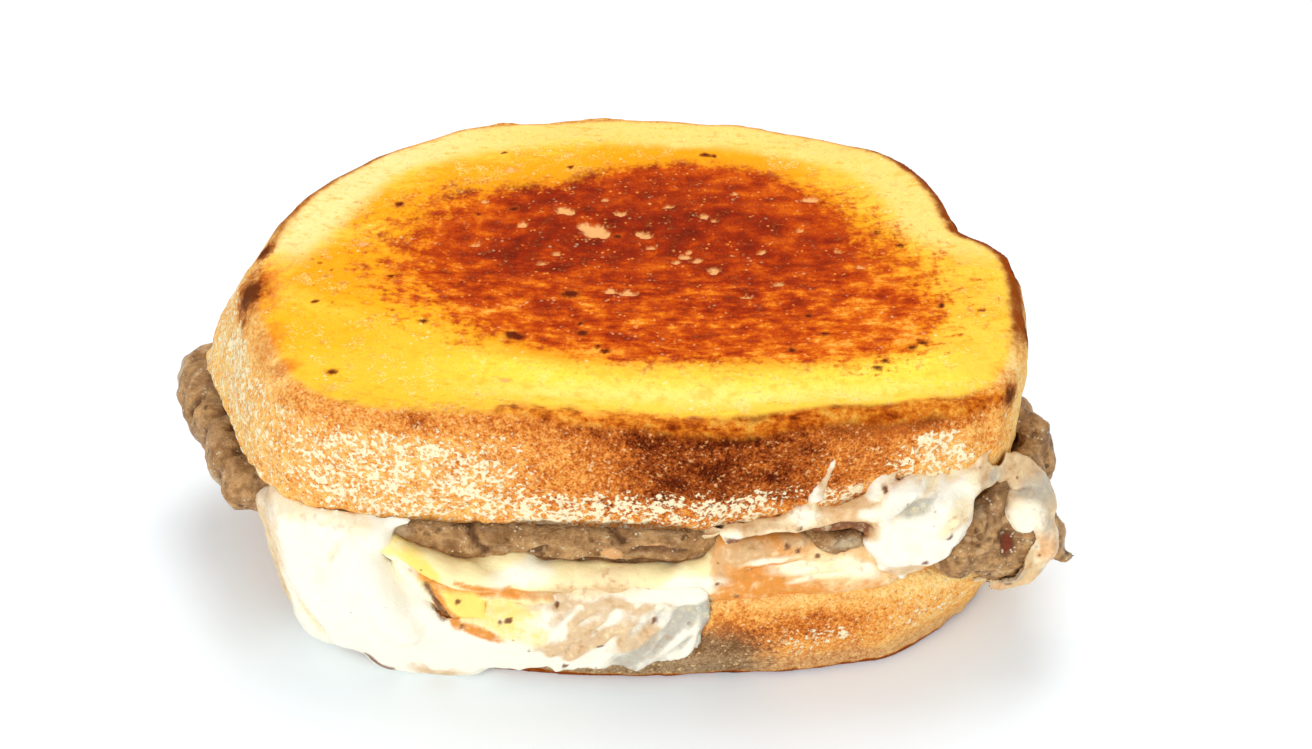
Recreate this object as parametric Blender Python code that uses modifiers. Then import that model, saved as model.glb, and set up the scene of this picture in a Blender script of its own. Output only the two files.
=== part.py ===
"""A grilled sandwich: two thick slices of a rustic loaf, browned in a pan, around a meat patty,
a layer of melted yellow cheese below it and a creamy white sauce above it that has run out at the sides.

Units are metres, +Z is up, +X runs along the slices, and -Y is the side where the filling shows most.
The origin is the middle of the underside that the sandwich rests on.
"""

import math

import bmesh
import bpy
from mathutils import Matrix, Vector, noise

MM = 0.001

# Heights of the layers, from the table up. Neighbours keep LAYER_GAP between them.
LAYER_GAP = 0.3 * MM
BOTTOM_SLICE_TOP = 19.6 * MM
CHEESE_THICKNESS = 3.0 * MM
PATTY_THICKNESS = 9.6 * MM
SAUCE_THICKNESS = 2.2 * MM
SANDWICH_HEIGHT = 58.0 * MM

CHEESE_BOTTOM = BOTTOM_SLICE_TOP + LAYER_GAP
CHEESE_TOP = CHEESE_BOTTOM + CHEESE_THICKNESS
PATTY_BOTTOM = CHEESE_TOP + LAYER_GAP
PATTY_TOP = PATTY_BOTTOM + PATTY_THICKNESS
SAUCE_BOTTOM = PATTY_TOP + LAYER_GAP
SAUCE_TOP = SAUCE_BOTTOM + SAUCE_THICKNESS
TOP_SLICE_BOTTOM = SAUCE_TOP + LAYER_GAP

# The loaf, cut across, as (x, y) millimetres: its flat base is the front, its two base corners are
# rounded, the dough burst at the waist on the right, and the domed top of the loaf is the back.
SLICE_OUTLINE = (
    (6.0, -52.2),
    (38.0, -49.2),
    (61.5, -43.0),
    (68.8, -29.0),
    (70.8, -12.0),
    (70.6, -1.0),
    (67.2, 6.2),
    (62.2, 9.8),
    (60.6, 18.0),
    (57.8, 28.0),
    (50.5, 38.2),
    (35.0, 47.5),
    (8.0, 52.5),
    (-15.0, 54.5),
    (-38.5, 49.0),
    (-55.0, 38.0),
    (-65.5, 19.5),
    (-71.0, -8.0),
    (-65.5, -30.0),
    (-56.0, -44.5),
    (-34.0, -50.0),
)

# The crust from the lower cut face to the upper one: (share of the height, inset in millimetres).
CRUST_PROFILE = (
    (0.06, 0.6),
    (0.18, 0.3),
    (0.45, -0.6),
    (0.72, -0.3),
    (0.88, 0.3),
    (0.965, 1.3),
    (1.00, 3.4),
)
LOWER_EDGE_INSET = 1.6 * MM
CRUST_WAVE_LENGTH = 22.0 * MM
CRUST_WAVE_HEIGHT = 0.8 * MM

# The upper slice leans out at the left, sags at its front edge and is a little domed.
FLARE = 12.0 * MM
LIP_DROP = 1.4 * MM
DOME_RISE = 0.6 * MM

# The lower slice ends sooner at the left and stands a little forward.
BOTTOM_SLICE_LEFT_SHARE = 0.930
BOTTOM_SLICE_FORWARD = 0.8 * MM

# The patty is hand pressed: three lobes stand out on the left and one sags on the right.
PATTY_OUTLINE = (
    (-18.0, -50.2),
    (15.0, -50.2),
    (40.0, -48.5),
    (60.0, -45.0),
    (70.0, -45.5),
    (79.0, -39.0),
    (75.8, -32.0),
    (77.5, -20.0),
    (74.5, -8.0),
    (65.0, 6.0),
    (58.0, 26.0),
    (29.0, 47.0),
    (-15.0, 51.5),
    (-50.0, 39.0),
    (-74.0, 17.5),
    (-86.8, 9.5),
    (-89.8, 5.0),
    (-87.5, -6.5),
    (-83.8, -14.0),
    (-80.5, -18.5),
    (-79.5, -25.0),
    (-75.5, -30.5),
    (-74.0, -35.0),
    (-68.5, -35.0),
    (-54.0, -41.0),
    (-44.0, -48.0),
)
PATTY_PROFILE = (
    (0.00, 4.0),
    (0.06, 1.8),
    (0.28, 0.4),
    (0.55, 0.0),
    (0.82, 0.7),
    (1.00, 2.8),
)
SAG_LEFT = 0.04
SAG_RIGHT = 0.55

# Crumbles of meat pushed out at the right: (x, y, z, radius) in millimetres.
PATTY_CRUMBLES = (
    (57.0, -45.5, 23.5, 4.2),
    (60.5, -44.0, 27.0, 4.4),
    (62.5, -42.5, 21.5, 4.0),
    (67.0, -42.5, 21.5, 4.2),
    (64.0, -40.0, 17.5, 3.8),
    (34.5, -49.0, 30.5, 3.0),
    (38.5, -48.5, 31.0, 2.8),
)

# Runs of cheese down the front crust, in millimetres: how far behind the crust the middle of the
# run lies, then its (x, z, radius) points.
CHEESE_FRONT_RUNS = (
    (1.6, ((-43.0, 29.0, 2.2), (-38.0, 24.5, 2.8), (-30.0, 21.2, 3.0), (-16.0, 20.8, 2.9))),
    (1.7, ((-16.0, 20.8, 2.9), (-6.0, 19.8, 2.6), (4.0, 20.5, 2.6), (12.0, 24.0, 3.0))),
    (2.0, ((-40.0, 24.0, 3.8), (-33.0, 17.0, 4.3), (-26.0, 13.5, 4.3), (-18.0, 13.0, 4.0))),
    (2.4, ((14.0, 21.5, 3.8), (44.0, 21.5, 3.8))),
    (2.2, ((16.0, 26.5, 4.0), (42.0, 26.2, 3.8))),
    (1.8, ((17.0, 30.0, 3.6), (28.0, 30.0, 3.2))),
)

# Runs of cheese at the back and the right, through (x, y, z, radius) points in millimetres.
CHEESE_RUNS = (
    ((14.0, 50.5, 20.8, 3.0), (29.0, 47.5, 18.5, 3.6), (41.0, 42.5, 20.8, 3.0)),
    ((65.0, 4.0, 21.0, 2.8), (69.0, -8.0, 19.5, 3.0), (68.0, -20.0, 21.2, 2.8)),
    ((-45.0, 43.0, 20.8, 2.8), (-34.0, 48.0, 20.0, 3.0)),
)

# Runs of sauce that follow the front crust: the smear over the lower slice, the strip that hangs
# from under the upper slice and the blob at its end.
SAUCE_FRONT_RUNS = (
    (0.8, ((-44.0, 4.8, 4.2), (-8.0, 4.8, 4.0), (10.0, 7.5, 4.0))),
    (0.6, ((-36.0, 9.5, 4.0), (-14.0, 10.0, 4.0), (10.0, 11.5, 4.0))),
    (1.0, ((-40.0, 15.0, 4.0), (-24.0, 14.5, 3.8), (-12.0, 15.0, 3.8))),
    (0.8, ((-14.0, 15.5, 4.0), (11.0, 16.5, 4.0))),
    (0.6, ((-9.0, 19.8, 3.4), (11.0, 21.2, 3.6))),
    (0.4, ((12.0, 35.5, 2.2), (20.0, 35.0, 2.4), (32.0, 35.5, 2.5), (40.0, 37.5, 3.2))),
    (0.6, ((42.5, 34.5, 4.0), (45.0, 28.0, 4.6), (52.0, 28.0, 4.6))),
    (1.0, ((44.0, 39.5, 4.4), (52.0, 37.0, 6.4), (55.0, 31.0, 4.6))),
)

# The heap on the left, which reaches the table, and its outer fold.
SAUCE_HEAP_RUNS = (
    ((-60.0, -39.0, 32.5, 5.0), (-54.0, -44.0, 32.0, 5.0), (-45.5, -47.5, 31.5, 4.0)),
    ((-59.0, -40.5, 30.0, 6.4), (-56.5, -42.0, 19.0, 7.0), (-54.5, -41.0, 9.0, 8.2)),
    ((-50.0, -46.0, 28.0, 5.8), (-48.0, -46.0, 18.0, 6.4), (-43.0, -46.0, 9.0, 6.6)),
    ((-54.5, -40.0, 7.0, 6.4), (-44.0, -46.5, 5.5, 5.2)),
    ((-45.0, -48.0, 4.6, 4.4), (-40.0, -49.2, 4.0, 3.8), (-29.0, -50.0, 3.8, 3.6)),
    ((-65.0, -34.5, 28.0, 3.8), (-63.0, -35.0, 18.0, 4.0), (-60.0, -35.0, 8.0, 5.2)),
)

# At the right corner: the ribbon, the lump on the patty and the film that hangs from it.
SAUCE_CORNER_RUNS = (
    ((56.0, -45.0, 40.0, 4.0), (61.5, -43.0, 41.0, 2.8), (67.0, -37.5, 39.0, 1.8)),
    ((67.0, -37.5, 39.0, 1.8), (70.5, -35.0, 36.0, 2.0), (73.0, -35.5, 32.0, 2.0)),
    ((65.5, -40.0, 35.0, 3.0), (69.5, -39.5, 34.0, 4.2), (72.5, -39.0, 31.0, 3.4)),
    ((72.0, -41.0, 30.0, 2.8), (73.5, -44.5, 24.0, 2.8), (70.5, -45.8, 19.0, 2.8)),
    ((70.5, -45.8, 19.0, 2.8), (65.0, -43.0, 14.5, 2.8)),
    ((70.0, -44.5, 23.0, 3.0), (67.0, -44.0, 16.5, 3.0)),
)

# At the back, two swells of sauce between the patty and the upper slice.
SAUCE_BACK_RUNS = (
    ((-30.0, 48.5, 34.5, 2.6), (-18.0, 53.0, 32.5, 3.4), (-4.0, 53.0, 34.5, 2.6)),
    ((50.0, 37.0, 34.5, 2.4), (57.0, 29.0, 33.0, 3.0), (60.0, 19.0, 34.5, 2.4)),
)

# A melted layer stops short of the crust, and the sauce stops shorter where the patty's face is bare.
CHEESE_INSET = 2.2 * MM
SAUCE_INSET = 1.5 * MM
SAUCE_BARE_INSET = 6.0 * MM

# A layer is made this much too thick on each side, and its neighbours cut it to size.
LAYER_SPARE = 1.0 * MM
# A cutter is grown by the gap and by this share more.
CUTTER_SPARE = 1.15

# How finely the forms are cut.
SLICE_SEGMENTS = 64
PATTY_SEGMENTS = 96
SPLINE_STEPS = 24
SOFT_VOXEL = 1.3 * MM
PATTY_FACES = 1600
CHEESE_FACES = 900
SAUCE_FACES = 1900
SHARP_ANGLE = math.radians(50)

COLLECTION = "grilled_sandwich"
CUTTERS = "cutters"


# ---------------------------------------------------------------- outlines


def smooth_step(value, low, high):
    """0 below low, 1 above high, and an even ramp between them."""
    share = min(1.0, max(0.0, (value - low) / (high - low)))
    return share * share * (3.0 - 2.0 * share)


def spline_point(before, start, end, after, t):
    """The point at t between start and end on a smooth curve through all four."""
    straight = 2.0 * start + (end - before) * t
    bend = (2.0 * before - 5.0 * start + 4.0 * end - after) * t**2
    twist = (3.0 * start - before - 3.0 * end + after) * t**3
    return 0.5 * (straight + bend + twist)


def closed_spline(points, count):
    """count points, evenly spaced along a smooth closed curve through points given in millimetres."""
    corners = [Vector(point) * MM for point in points]
    fine = []
    for index in range(len(corners)):
        four = [corners[(index + shift) % len(corners)] for shift in (-1, 0, 1, 2)]
        fine += [spline_point(*four, step / SPLINE_STEPS) for step in range(SPLINE_STEPS)]
    lengths = [0.0]
    for here, there in zip(fine, fine[1:] + fine[:1]):
        lengths.append(lengths[-1] + (there - here).length)
    spaced = []
    index = 0
    for number in range(count):
        wanted = lengths[-1] * number / count
        while lengths[index + 1] < wanted:
            index += 1
        share = (wanted - lengths[index]) / (lengths[index + 1] - lengths[index])
        spaced.append(fine[index].lerp(fine[(index + 1) % len(fine)], share))
    return spaced


def inset(outline, distance):
    """The outline moved inwards by distance, each point along its own normal."""
    moved = []
    for index, point in enumerate(outline):
        along = outline[(index + 1) % len(outline)] - outline[index - 1]
        inward = Vector((-along.y, along.x)).normalized()
        moved.append(point + inward * distance)
    return moved


def shrunk(outline, share):
    """The outline scaled about its middle, for the rings inside a broad face."""
    middle = sum(outline, Vector((0.0, 0.0))) / len(outline)
    return [middle.lerp(point, share) for point in outline]


def front_wall(outline, x):
    """The y of the crust on the front of the loaf at this x."""
    front = [point for point in outline if point.y < 0.0]
    return min(front, key=lambda point: abs(point.x - x)).y


# ---------------------------------------------------------------- skins and objects


def skin(form, rings):
    """Adds a closed skin that passes through the rings, from the first to the last."""
    disc = bmesh.ops.create_circle(form, cap_ends=True, segments=len(rings[0]), radius=1.0)
    current = disc["verts"]
    for vertex, place in zip(current, rings[0]):
        vertex.co = place
    edges = list({edge for vertex in current for edge in vertex.link_edges})
    for ring in rings[1:]:
        grown = bmesh.ops.extrude_edge_only(form, edges=edges)["geom"]
        fresh = {part for part in grown if isinstance(part, bmesh.types.BMVert)}
        following = []
        for vertex in current:
            neighbours = [edge.other_vert(vertex) for edge in vertex.link_edges]
            following += [other for other in neighbours if other in fresh]
        current = following
        for vertex, place in zip(current, ring):
            vertex.co = place
        grown_edges = [part for part in grown if isinstance(part, bmesh.types.BMEdge)]
        edges = [edge for edge in grown_edges if all(end in fresh for end in edge.verts)]
    form.faces.new(current)


def mesh_of(name, form):
    """The finished mesh of a form, with its faces turned outwards."""
    bmesh.ops.recalc_face_normals(form, faces=form.faces)
    mesh = bpy.data.meshes.new(name)
    form.to_mesh(mesh)
    form.free()
    return mesh


def shade(mesh):
    """Smooth shading that keeps the hard edges."""
    mesh.shade_smooth()
    mesh.set_sharp_from_angle(angle=SHARP_ANGLE)


def new_object(name, mesh, colour, roughness):
    """An object for the mesh, with its own material."""
    item = bpy.data.objects.new(name, mesh)
    bpy.data.collections[COLLECTION].objects.link(item)
    material = bpy.data.materials.new(name)
    material.use_nodes = True
    shader = material.node_tree.nodes["Principled BSDF"]
    shader.inputs["Base Color"].default_value = (*colour, 1.0)
    shader.inputs["Roughness"].default_value = roughness
    shader.inputs["Metallic"].default_value = 0.0
    mesh.materials.clear()
    mesh.materials.append(material)
    shade(mesh)
    return item


def cutter_for(neighbour):
    """A copy of a finished piece, grown all round by the gap that touching pieces keep."""
    item = bpy.data.objects.new("cut_" + neighbour.name, neighbour.data.copy())
    bpy.data.collections[CUTTERS].objects.link(item)
    item.hide_render = True
    item.display_type = "WIRE"
    grow = item.modifiers.new("gap", "DISPLACE")
    grow.strength = LAYER_GAP * CUTTER_SPARE
    grow.mid_level = 0.0
    return item


# ---------------------------------------------------------------- bread


def flare_share(point):
    """How far the crust leans out here: all of it at the left, half at the front corner, none at the back."""
    left = smooth_step(-point.x, 20 * MM, 70 * MM)
    forward = 0.5 + 0.5 * smooth_step(point.y, -30 * MM, 0.0)
    return left * forward * (1.0 - smooth_step(point.y, 8 * MM, 30 * MM))


def lip_share(point):
    """How far the lower edge sags here: all of it along the middle of the front."""
    return smooth_step(-point.y, 40 * MM, 49 * MM) * smooth_step(30 * MM - point.x, 0.0, 20 * MM)


def slice_ring(flat, low, high, share, middle, flare, lip_drop, dome):
    """One ring of a slice. middle is 0 at the crust and 1 in the middle of a cut face."""
    ring = []
    crust = 1.0 - middle
    for point in flat:
        lean = flare * flare_share(point) * (1.0 - share) * crust
        sag = lip_drop * lip_share(point) * (1.0 - smooth_step(share, 0.0, 0.4)) * crust
        rise = dome * smooth_step(middle, 0.0, 1.0) if share == 1.0 else 0.0
        place = Vector((point.x - lean, point.y, low + (high - low) * share - sag + rise))
        outward = Vector((point.x, point.y, 0.0)).normalized()
        wave = noise.noise(place / CRUST_WAVE_LENGTH) * CRUST_WAVE_HEIGHT * crust
        ring.append(place + outward * wave)
    return ring


def slice_rings(outline, low, high, flare=0.0, lip_drop=0.0, dome=0.0):
    """The rings of a slice, from the middle of its lower cut face, round the crust, to the upper one."""
    sections = [(0.0, shrunk(outline, 0.5), 1.0), (0.0, inset(outline, LOWER_EDGE_INSET), 0.0)]
    sections += [(share, inset(outline, in_mm * MM), 0.0) for share, in_mm in CRUST_PROFILE]
    if dome:
        sections += [(1.0, shrunk(outline, 0.86), 0.30), (1.0, shrunk(outline, 0.66), 0.70)]
    sections.append((1.0, shrunk(outline, 0.4), 1.0))
    return [
        slice_ring(flat, low, high, share, middle, flare, lip_drop, dome)
        for share, flat, middle in sections
    ]


def make_top_slice(outline):
    form = bmesh.new()
    crust_top = SANDWICH_HEIGHT - DOME_RISE
    skin(form, slice_rings(outline, TOP_SLICE_BOTTOM, crust_top, FLARE, LIP_DROP, DOME_RISE))
    return new_object("bread_top", mesh_of("bread_top", form), (0.80, 0.42, 0.08), 0.5)


def make_bottom_slice(outline):
    placed = []
    for point in outline:
        share = BOTTOM_SLICE_LEFT_SHARE if point.x < 0.0 else 1.0
        placed.append(Vector((point.x * share, point.y - BOTTOM_SLICE_FORWARD)))
    form = bmesh.new()
    skin(form, slice_rings(placed, 0.0, BOTTOM_SLICE_TOP))
    return new_object("bread_bottom", mesh_of("bread_bottom", form), (0.72, 0.40, 0.12), 0.6)


# ---------------------------------------------------------------- soft, pressed and melted pieces


def ball(form, place, radius):
    """One ball of food, which melt() joins to the rest."""
    bmesh.ops.create_icosphere(form, subdivisions=2, radius=radius, matrix=Matrix.Translation(place))


def run(form, path):
    """A stroke of soft food through (x, y, z, radius) points in millimetres, as overlapping balls."""
    for first, second in zip(path, path[1:]):
        start, end = Vector(first[:3]) * MM, Vector(second[:3]) * MM
        step = 0.6 * MM * min(first[3], second[3])
        count = max(1, math.ceil((end - start).length / step))
        for index in range(count + 1):
            share = index / count
            radius = first[3] + (second[3] - first[3]) * share
            ball(form, start.lerp(end, share), radius * MM)


def front_run(form, outline, depth, path):
    """A stroke along the front crust through (x, z, radius) points, its middle depth behind the crust."""
    walls = [front_wall(outline, x * MM) / MM for x, z, radius in path]
    run(form, [(x, wall + depth, z, radius) for wall, (x, z, radius) in zip(walls, path)])


def layer(form, outline, low, high):
    """A flat layer between two heights."""
    disc = bmesh.ops.create_circle(form, cap_ends=True, segments=len(outline), radius=1.0)
    for vertex, point in zip(disc["verts"], outline):
        vertex.co = (point.x, point.y, low)
    face = disc["verts"][0].link_faces[0]
    grown = bmesh.ops.extrude_face_region(form, geom=[face])["geom"]
    fresh = [part for part in grown if isinstance(part, bmesh.types.BMVert)]
    bmesh.ops.translate(form, verts=fresh, vec=(0.0, 0.0, high - low))


def bodies_of(form):
    """The sets of vertices that hang together, from the smallest to the largest."""
    unseen = set(form.verts)
    bodies = []
    while unseen:
        body = set()
        front = [unseen.pop()]
        while front:
            vertex = front.pop()
            body.add(vertex)
            reached = {edge.other_vert(vertex) for edge in vertex.link_edges} & unseen
            unseen -= reached
            front += reached
        bodies.append(body)
    return sorted(bodies, key=len)


def keep_largest_body(mesh):
    """Removes every scrap that a cut left loose."""
    form = bmesh.new()
    form.from_mesh(mesh)
    for body in bodies_of(form)[:-1]:
        bmesh.ops.delete(form, geom=list(body), context="VERTS")
    bmesh.ops.triangulate(form, faces=form.faces)
    form.to_mesh(mesh)
    form.free()


def evaluated_mesh(item):
    """The object's mesh with its modifiers applied."""
    bpy.context.view_layer.update()
    graph = bpy.context.evaluated_depsgraph_get()
    return bpy.data.meshes.new_from_object(item.evaluated_get(graph))


def melt(name, form, colour, roughness, faces, cutters):
    """Joins the shapes in form into one soft skin of about this many faces, cut clear of its neighbours."""
    item = new_object(name, mesh_of(name, form), colour, roughness)
    remesh = item.modifiers.new("melt", "REMESH")
    remesh.mode = "VOXEL"
    remesh.voxel_size = SOFT_VOXEL
    relax = item.modifiers.new("relax", "SMOOTH")
    relax.factor = 0.5
    relax.iterations = 5
    triangles = 2 * len(evaluated_mesh(item).polygons)
    thin = item.modifiers.new("thin", "DECIMATE")
    thin.ratio = faces / triangles
    for cutter in cutters:
        cut = item.modifiers.new("clear_of_" + cutter.name, "BOOLEAN")
        cut.operation = "DIFFERENCE"
        cut.solver = "EXACT"
        cut.object = cutter
    finished = evaluated_mesh(item)
    keep_largest_body(finished)
    shade(finished)
    item.modifiers.clear()
    item.data = finished
    return item


def patty_sag(point):
    """How far the patty hangs down where the bottom slice no longer carries it."""
    over_left = max(0.0, -point.x - 68.0 * MM)
    over_right = max(0.0, point.x - 64.5 * MM)
    return SAG_LEFT * over_left + SAG_RIGHT * over_right * smooth_step(-point.y, 8 * MM, 40 * MM)


def make_patty(cutters):
    outline = closed_spline(PATTY_OUTLINE, PATTY_SEGMENTS)
    sections = [(0.0, shrunk(outline, share)) for share in (0.40, 0.75)]
    sections += [(share, inset(outline, in_mm * MM)) for share, in_mm in PATTY_PROFILE]
    sections += [(1.0, shrunk(outline, share)) for share in (0.88, 0.70, 0.35)]
    rings = []
    for share, flat in sections:
        z = PATTY_BOTTOM + PATTY_THICKNESS * share
        rings.append([Vector((point.x, point.y, z - patty_sag(point))) for point in flat])
    form = bmesh.new()
    skin(form, rings)
    for x, y, z, radius in PATTY_CRUMBLES:
        ball(form, Vector((x, y, z)) * MM, radius * MM)
    return melt("patty", form, (0.30, 0.18, 0.09), 0.55, PATTY_FACES, cutters)


def make_cheese(outline, cutters):
    form = bmesh.new()
    layer(form, inset(outline, CHEESE_INSET), CHEESE_BOTTOM - LAYER_SPARE, CHEESE_TOP + LAYER_SPARE)
    for depth, path in CHEESE_FRONT_RUNS:
        front_run(form, outline, depth, path)
    for path in CHEESE_RUNS:
        run(form, path)
    return melt("cheese", form, (0.92, 0.72, 0.22), 0.35, CHEESE_FACES, cutters)


def bare_share(point):
    """1 along the stretch of the front where no sauce covers the patty's face, 0 elsewhere."""
    front = smooth_step(-point.y, 35 * MM, 45 * MM)
    return front * smooth_step(12 * MM - point.x, 0.0, 6 * MM) * smooth_step(point.x, -46 * MM, -40 * MM)


def make_sauce(outline, cutters):
    form = bmesh.new()
    spread = inset(outline, SAUCE_INSET)
    for point in spread:
        point.y += SAUCE_BARE_INSET * bare_share(point)
    layer(form, spread, SAUCE_BOTTOM - LAYER_SPARE, SAUCE_TOP + LAYER_SPARE)
    for depth, path in SAUCE_FRONT_RUNS:
        front_run(form, outline, depth, path)
    for path in SAUCE_HEAP_RUNS + SAUCE_CORNER_RUNS + SAUCE_BACK_RUNS:
        run(form, path)
    return melt("sauce", form, (0.95, 0.93, 0.84), 0.3, SAUCE_FACES, cutters)


# ---------------------------------------------------------------- the sandwich


def main():
    for item in list(bpy.data.objects):
        bpy.data.objects.remove(item)
    for name in (COLLECTION, CUTTERS):
        bpy.context.scene.collection.children.link(bpy.data.collections.new(name))
    outline = closed_spline(SLICE_OUTLINE, SLICE_SEGMENTS)
    slices = [cutter_for(make_top_slice(outline)), cutter_for(make_bottom_slice(outline))]
    patty = cutter_for(make_patty(slices))
    cheese = cutter_for(make_cheese(outline, [*slices, patty]))
    make_sauce(outline, [*slices, patty, cheese])


main()
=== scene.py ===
# %% [markdown]
# # A grilled sandwich in Blender
# Two thick slices of a rustic loaf hold a meat patty, melted yellow cheese and a creamy white
# sauce. The solids of the sandwich already exist as a plain frame; this lesson gives each of
# them its real surface: browned bread, floury crust, crumbly meat and soft, wet runs of cheese
# and sauce. Every piece is worked in millimetres, because that is how food is thought of.

# %% Load the plain solids
import math

import bmesh
import bpy
import numpy as np
from mathutils import Matrix, Vector
from mathutils.kdtree import KDTree


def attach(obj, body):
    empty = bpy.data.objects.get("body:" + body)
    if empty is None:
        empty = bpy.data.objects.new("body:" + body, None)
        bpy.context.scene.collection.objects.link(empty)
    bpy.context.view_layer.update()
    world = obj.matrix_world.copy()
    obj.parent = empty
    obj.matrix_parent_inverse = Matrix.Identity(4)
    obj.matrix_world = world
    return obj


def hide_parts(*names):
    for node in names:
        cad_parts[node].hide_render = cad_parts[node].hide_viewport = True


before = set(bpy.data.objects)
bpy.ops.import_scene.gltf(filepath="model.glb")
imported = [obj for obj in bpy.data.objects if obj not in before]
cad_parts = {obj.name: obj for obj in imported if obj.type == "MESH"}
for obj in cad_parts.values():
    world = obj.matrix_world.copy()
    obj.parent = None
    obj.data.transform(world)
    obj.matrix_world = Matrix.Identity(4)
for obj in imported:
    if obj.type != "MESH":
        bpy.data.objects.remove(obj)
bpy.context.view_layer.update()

MM = 0.001

# %% [markdown]
# ## The camera
# The sandwich is seen from the front, from a hand's height above it. The camera stands at the
# end of a line that leaves the middle of the sandwich at 36 degrees above the table. A long
# lens from 42 centimetres keeps the near edge from looming.

# %% Camera
VIEW_ELEVATION = math.radians(36)
VIEW_DISTANCE = 420 * MM
VIEW_CENTRE = Vector((3.83, 0.63, 30.0)) * MM
LENS = 59.63

view_back = Vector((0, -math.cos(VIEW_ELEVATION), math.sin(VIEW_ELEVATION)))
camera_data = bpy.data.cameras.new("view")
camera_data.lens = LENS
camera_data.sensor_width = 36
camera_data.clip_start = 10 * MM
camera = bpy.data.objects.new("view", camera_data)
camera.location = VIEW_CENTRE + view_back * VIEW_DISTANCE
camera.rotation_euler = (math.pi / 2 - VIEW_ELEVATION, 0, 0)
bpy.context.scene.collection.objects.link(camera)
bpy.context.scene.camera = camera
print("camera stands at", tuple(round(value, 3) for value in camera.location))

# %% [markdown]
# ## Table and light
# A white table and a wide, soft light from above give the clean look of a catalogue. The table
# is a plain sheet that also glows faintly, painted light that lifts its shadows; the rest of the
# softness comes from large lamps and a white world, so that the only shadow is the grey bloom right under the sandwich.

# %% Table, lamps and world
def plane_at(name, size, height):
    """A square sheet lying flat."""
    form = bmesh.new()
    bmesh.ops.create_grid(form, x_segments=1, y_segments=1, size=size / 2)
    bmesh.ops.translate(form, verts=form.verts, vec=(0, 0, height))
    mesh = bpy.data.meshes.new(name)
    form.to_mesh(mesh)
    form.free()
    sheet = bpy.data.objects.new(name, mesh)
    bpy.context.scene.collection.objects.link(sheet)
    return sheet


def lamp(name, place, aim, size, power):
    """A square soft lamp at place that looks at aim. Power is in watts."""
    data = bpy.data.lights.new(name, "AREA")
    data.size = size
    data.energy = power
    item = bpy.data.objects.new(name, data)
    item.location = place
    item.rotation_euler = (Vector(place) - Vector(aim)).to_track_quat("Z", "Y").to_euler()
    bpy.context.scene.collection.objects.link(item)
    return item


table = plane_at("table", 6.0, 0.0)
self_lit_table = bpy.data.materials.new("self_lit_table")
self_lit_table.use_nodes = True
table_shader = self_lit_table.node_tree.nodes["Principled BSDF"]
table_shader.inputs["Base Color"].default_value = (0.90, 0.95, 0.98, 1)
# A faint blue tint and a faint cool glow offset the warm light the bread throws onto the table; the glow is painted
# light that also lifts its shadows.
table_shader.inputs["Emission Color"].default_value = (0.62, 0.76, 0.86, 1)
table_shader.inputs["Emission Strength"].default_value = 0.12
table_shader.inputs["Roughness"].default_value = 0.9
table_shader.inputs["Specular IOR Level"].default_value = 0.2
table.data.materials.append(self_lit_table)

AIM = (0, 0, 30 * MM)
lamp("overhead", (0.03, 0.26, 0.66), AIM, 0.42, 2.6)
lamp("front_left", (-0.46, -0.64, 0.36), AIM, 0.50, 2.7)
lamp("front_right", (0.38, -0.72, 0.32), AIM, 0.50, 1.9)

world = bpy.data.worlds.new("white_room")
world.use_nodes = True
world.node_tree.nodes["Background"].inputs["Color"].default_value = (1, 1, 1, 1)
world.node_tree.nodes["Background"].inputs["Strength"].default_value = 0.53
bpy.context.scene.world = world
bpy.context.scene.view_settings.view_transform = "Standard"
bpy.context.scene.view_settings.look = "None"

# %% [markdown]
# ## Writing materials as sums
# A material in Blender is a net of nodes, and a net of forty Math nodes is hard to read. Here
# a small class wraps one output of a node, so that `1 - mask` or `grain * 0.3 + base` adds the
# Math nodes itself. A second class is the material: it makes any other node, mixes colours and
# reads the piece's own attributes.

# %% Value and Finish
GRAIN_CONTRAST = 3.6


class Value:
    """One output of a node, with the operators of plain arithmetic."""

    def __init__(self, finish, socket):
        self.finish = finish
        self.socket = socket

    def __add__(self, other):
        return self.finish.math("ADD", self, other)

    def __sub__(self, other):
        return self.finish.math("SUBTRACT", self, other)

    def __mul__(self, other):
        return self.finish.math("MULTIPLY", self, other)

    def __truediv__(self, other):
        return self.finish.math("DIVIDE", self, other)

    def __rsub__(self, other):
        return self.finish.math("SUBTRACT", other, self)

    __radd__ = __add__
    __rmul__ = __mul__


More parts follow.
